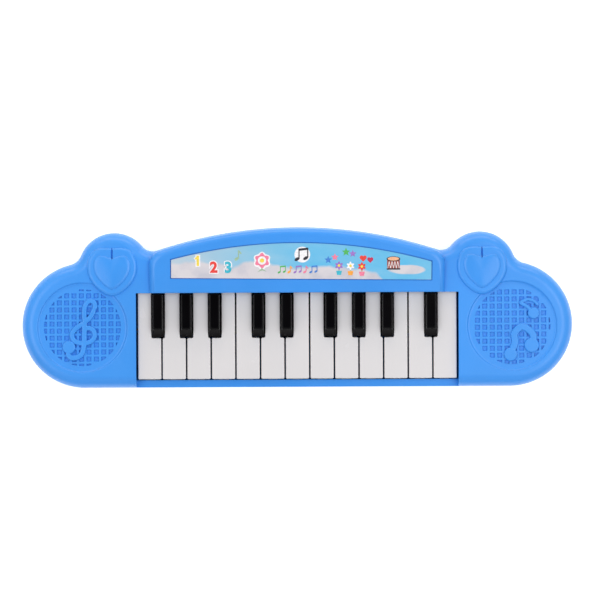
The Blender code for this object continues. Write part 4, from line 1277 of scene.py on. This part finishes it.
def beamed_notes(x, y, size, colour):
    """Two notes joined by a beam, about size across."""
    s = size
    return [
        (colour, leaning((x - 0.38 * s, y - 0.38 * s), 0.2 * s, 0.14 * s)),
        (colour, leaning((x + 0.32 * s, y - 0.3 * s), 0.2 * s, 0.14 * s)),
        (colour, bar((x - 0.21 * s, y - 0.36 * s), (x - 0.21 * s, y + 0.42 * s), 0.045 * s)),
        (colour, bar((x + 0.49 * s, y - 0.28 * s), (x + 0.49 * s, y + 0.5 * s), 0.045 * s)),
        (colour, bar((x - 0.25 * s, y + 0.38 * s), (x + 0.53 * s, y + 0.46 * s), 0.09 * s)),
    ]


def single_note(x, y, size, colour):
    s = size
    return [
        (colour, leaning((x - 0.12 * s, y - 0.36 * s), 0.22 * s, 0.16 * s)),
        (colour, bar((x + 0.07 * s, y - 0.34 * s), (x + 0.07 * s, y + 0.5 * s), 0.05 * s)),
        (colour, bar((x + 0.05 * s, y + 0.47 * s), (x + 0.34 * s, y + 0.14 * s), 0.07 * s)),
    ]


def flower_pot(x, y, pot, flower):
    """A small flower in a coloured pot."""
    return [
        ("leaf", bar((x, y - 2.6), (x, y + 0.4), 0.3)),
        (pot, [(x - 1.2, y - 4.4), (x + 1.2, y - 4.4), (x + 1.7, y - 1.9), (x - 1.7, y - 1.9)]),
        (flower, petals((x, y + 1.2), 2.5, 6, 0.2)),
        ("yellow", disc((x, y + 1.2), 0.8)),
    ]


def numeral_one(x, y):
    """A printed 1 with a flag at its top, on a pale border."""
    flag = [(x - 1.9, y + 1.5), (x + 0.1, y + 3.1), (x + 0.1, y + 1.6), (x - 1.4, y + 0.6)]
    stem = bar((x, y - 3.1), (x, y + 3.1), 0.75)
    wide = [(x + (px - x) * 1.9, y + (py - y) * 1.16) for px, py in stem]
    wide_flag = [(x - 2.5, y + 1.6), (x, y + 3.7), (x + 0.4, y + 1.2), (x - 1.4, y - 0.1)]
    return [("white", wide), ("white", wide_flag), ("yellow", stem), ("yellow", flag)]


def drum(x, y):
    """A small drum with hoops and crossed cords."""
    shapes = [
        ("brown", rectangle(x - 3.8, y - 3.2, x + 3.8, y + 2.6)),
        ("black", leaning((x, y + 2.8), 4.1, 1.5, 0)),
        ("peach", leaning((x, y + 2.9), 3.4, 1.1, 0)),
        ("black", bar((x - 4.0, y - 3.2), (x + 4.0, y - 3.2), 0.4)),
    ]
    for i in range(4):
        left = x - 3.4 + i * 1.7
        shapes.append(("white", bar((left, y - 2.7), (left + 0.85, y + 1.3), 0.14)))
        shapes.append(("white", bar((left + 0.85, y + 1.3), (left + 1.7, y - 2.7), 0.14)))
    return shapes


def pictures():
    """Every printed picture on the sticker: a name and its (ink, outline) layers from the lowest up."""
    x0 = box_mm("panel_label")[0].x
    return {
        "print_digit_1": numeral_one(x0 + 16.0, 27.8),
        "print_green_note": single_note(x0 + 39.8, 31.0, 6.0, "leaf"),
        "print_pink_flower": [
            ("white", petals((x0 + 54.2, 27.6), 5.4, 6, 0.08)),
            ("pink", petals((x0 + 54.2, 27.8), 4.6, 6, 0.13)),
            ("white", disc((x0 + 54.2, 27.8), 2.5)), ("yellow", disc((x0 + 54.2, 27.8), 1.3)),
            ("leaf", [(x0 + 51.6, 21.0), (x0 + 54.0, 23.3), (x0 + 56.8, 21.2), (x0 + 54.2, 22.0)]),
        ],
        "print_beamed_notes": [
            ("white", disc((x0 + 78.2, 31.2), 4.7)), *beamed_notes(x0 + 77.8, 31.3, 7.4, "black"),
        ],
        "print_small_notes": [
            shape
            for i, colour in enumerate(("green", "orange", "violet", "pink", "blue"))
            for shape in (beamed_notes if i % 2 == 0 else single_note)(x0 + 66.0 + i * 4.7, 22.4, 4.3, colour)
        ],
        "print_blue_star": [("blue", star((x0 + 93.6, 28.0), 2.4)), ("pink", star((x0 + 97.6, 29.6), 2.3))],
        "print_green_star": [
            ("green", star((x0 + 104.2, 32.6), 2.6)), ("violet", star((x0 + 108.2, 31.6), 2.3)),
        ],
        "print_red_hearts": [
            ("red", heart_outline((x0 + 114.4, 28.6), (4.2, 3.8), 3.6, 2.6, 0, 48)),
            ("crimson", heart_outline((x0 + 118.6, 27.7), (3.6, 3.4), 3.6, 2.6, 0, 48)),
        ],
        "print_flower_pots": [
            *flower_pot(x0 + 100.0, 23.4, "cyan", "violet"),
            *flower_pot(x0 + 106.8, 23.2, "orange", "white"),
            *flower_pot(x0 + 113.6, 22.8, "pink", "red"),
        ],
        "print_drum": drum(x0 + 132.4, 25.6),
    }


def print_picture(name, layers):
    """One thin solid for each ink layer, together in one piece."""
    points, faces, slots = [], [], []
    inks = sorted({colour for colour, _ in layers})
    for level, (colour, outline) in enumerate(layers):
        count, first = len(outline), len(points)
        low, high = LABEL_FACE + 0.004, LABEL_FACE + 0.03 + 0.014 * level
        for lift in (low, high):
            points += [(x, y, console_height(y) + lift) for x, y in outline]
        made = [tuple(range(first, first + count)), tuple(range(first + count, first + 2 * count))]
        for i in range(count):
            j = (i + 1) % count
            made.append((first + i, first + j, first + count + j, first + count + i))
        faces += made
        slots += [inks.index(colour)] * len(made)
    picture = solid(name, points, faces)
    for colour in inks:
        picture.data.materials.append(INK[colour])
    picture.data.polygons.foreach_set("material_index", slots)
    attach(picture, "case")


def digit(text, x, y, height, colour):
    """A round printed digit with a pale border, in two pieces."""
    for part, swell, lift, inked in (("border", 0.11, 0.0, "white"), ("face", 0.045, 0.03, colour)):
        curve = bpy.data.curves.new(f"print_{part}_{text}", "FONT")
        curve.body, curve.size, curve.offset = text, 1.0, swell
        curve.align_x, curve.align_y, curve.extrude, curve.resolution_u = "CENTER", "CENTER", 0.02, 6
        lettering = add_object("lettering", curve)
        graph = bpy.context.evaluated_depsgraph_get()
        mesh = bpy.data.meshes.new_from_object(lettering.evaluated_get(graph))
        bpy.data.objects.remove(lettering)
        scale = height / 0.72
        for vertex in mesh.vertices:
            px, py = x + vertex.co.x * scale, y + vertex.co.y * scale
            top = LABEL_FACE + lift + (0.04 if vertex.co.z > 0 else 0.0)
            vertex.co = Vector((px, py, console_height(py) + top)) * MM
        piece = add_object(f"print_digit_{text}_{part}", mesh)
        mesh.materials.clear()
        mesh.materials.append(INK[inked])
        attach(piece, "case")


INK = {name: ink(name, colour) for name, colour in INKS.items()}


def panel():
    label()
    for name, layers in pictures().items():
        print_picture(name, layers)
    x0 = box_mm("panel_label")[0].x
    for text, along, y, colour in (("2", 25.4, 23.6, "red"), ("3", 34.0, 23.5, "cyan")):
        digit(text, x0 + along, y, 6.3, colour)


# Studio


def aim(obj, target):
    way = Vector(target) - obj.location
    obj.rotation_euler = way.to_track_quat("-Z", "Y").to_euler()


def area_light(name, place, target, size, power, colour=(1, 1, 1)):
    data = bpy.data.lights.new(name, "AREA")
    data.shape, data.size, data.size_y = "RECTANGLE", *size
    data.energy, data.color = power, colour
    light = add_object(name, data)
    light.location = place
    aim(light, target)


WALL_LOW, WALL_MIDDLE, WALL_TOP = (0.2, 0.16, 0.13), (0.85, 0.85, 0.85), (0.03, 0.03, 0.035)


def studio_walls():
    """The world by height: a dim warm grey at the horizon, bright above that and dark straight overhead."""
    world = bpy.data.worlds.new("studio")
    world.use_nodes = True
    tree = world.node_tree
    background = tree.nodes["Background"]
    parts = tree.nodes.new("ShaderNodeSeparateXYZ")
    tree.links.new(tree.nodes.new("ShaderNodeTexCoord").outputs["Generated"], parts.inputs[0])
    ramp = tree.nodes.new("ShaderNodeValToRGB")
    stops = ((0.0, WALL_LOW), (0.12, WALL_LOW), (0.3, WALL_MIDDLE), (0.86, WALL_MIDDLE),
             (0.93, WALL_TOP), (1.0, WALL_TOP))
    for i, (position, colour) in enumerate(stops):
        element = ramp.color_ramp.elements[i] if i < 2 else ramp.color_ramp.elements.new(position)
        element.position = position
        element.color = (*colour, 1)
    tree.links.new(parts.outputs["Z"], ramp.inputs["Fac"])
    tree.links.new(ramp.outputs["Color"], background.inputs["Color"])
    background.inputs["Strength"].default_value = 1.0
    bpy.context.scene.world = world


def studio():
    studio_walls()
    area_light("left_softbox", (-0.86, 0, 1.5), (-0.86, 0, 0), (0.9, 1.2), 8)
    area_light("right_softbox", (0.75, 0, 1.5), (0.75, 0, 0), (0.9, 1.2), 10)
    area_light("rear_strip", (0, 1.3, 0.45), (0, 0, 0), (2.0, 0.3), 9, (1.0, 0.76, 0.56))

    floor = solid("floor", ring_at(rectangle(-3e3, -3e3, 3e3, 3e3), -0.05), [(0, 1, 2, 3)])
    g = Graph("studio_floor")
    g.set(Base_Color=g.ramp(g.noise(3), (0.3, (0.93, 0.93, 0.93)), (0.7, (0.95, 0.95, 0.95))), Roughness=0.9)
    g.set(Specular_IOR_Level=0.1, Emission_Color=(1, 1, 1, 1), Emission_Strength=0.45)
    # Seen from below, the floor is clear, so that the underside can be looked at.
    clear = g.node("ShaderNodeBsdfTransparent")
    chosen = g.node("ShaderNodeMixShader")
    g.link(g.node("ShaderNodeNewGeometry").outputs["Backfacing"], chosen.inputs[0])
    g.link(g.shader.outputs[0], chosen.inputs[1])
    g.link(clear.outputs[0], chosen.inputs[2])
    g.link(chosen.outputs[0], g.tree.nodes["Material Output"].inputs["Surface"])
    floor.data.materials.append(g.material)
    bpy.context.scene.view_settings.view_transform = "Standard"


def camera():
    """Straight above the toy. The frame is as wide as seen, in metres, at the height of the key tops."""
    data = bpy.data.cameras.new("camera")
    data.sensor_width = 36.0
    height, seen, key_top = 1.6, 0.3588, 0.023
    data.lens = data.sensor_width * (height - key_top) / seen
    view = add_object("camera", data)
    view.location = (0.0017, 0.0042, height)
    view.rotation_euler = (0, 0, math.radians(-0.28))
    data.clip_start, data.clip_end = 0.05, 20.0
    bpy.context.scene.camera = view


def paint_frame():
    """The CAD nodes that are still shown take procedural materials by their slots."""
    slots = {part["node"]: part["material_slot"] for part in frame["record"]["subparts"]}
    for node, obj in frame["nodes"].items():
        if obj.hide_render:
            continue
        obj.data.materials.clear()
        obj.data.materials.append(MATERIALS[slots[node]])


def main():
    camera()
    studio()
    top_shell()
    for node in WHITE_KEYS:
        white_key(node)
    for node in BLACK_KEYS:
        black_key(node)
    contact_strip()
    bottom_shell()
    battery_door()
    rubber_feet()
    screws()
    power_switch()
    panel()
    paint_frame()


main()
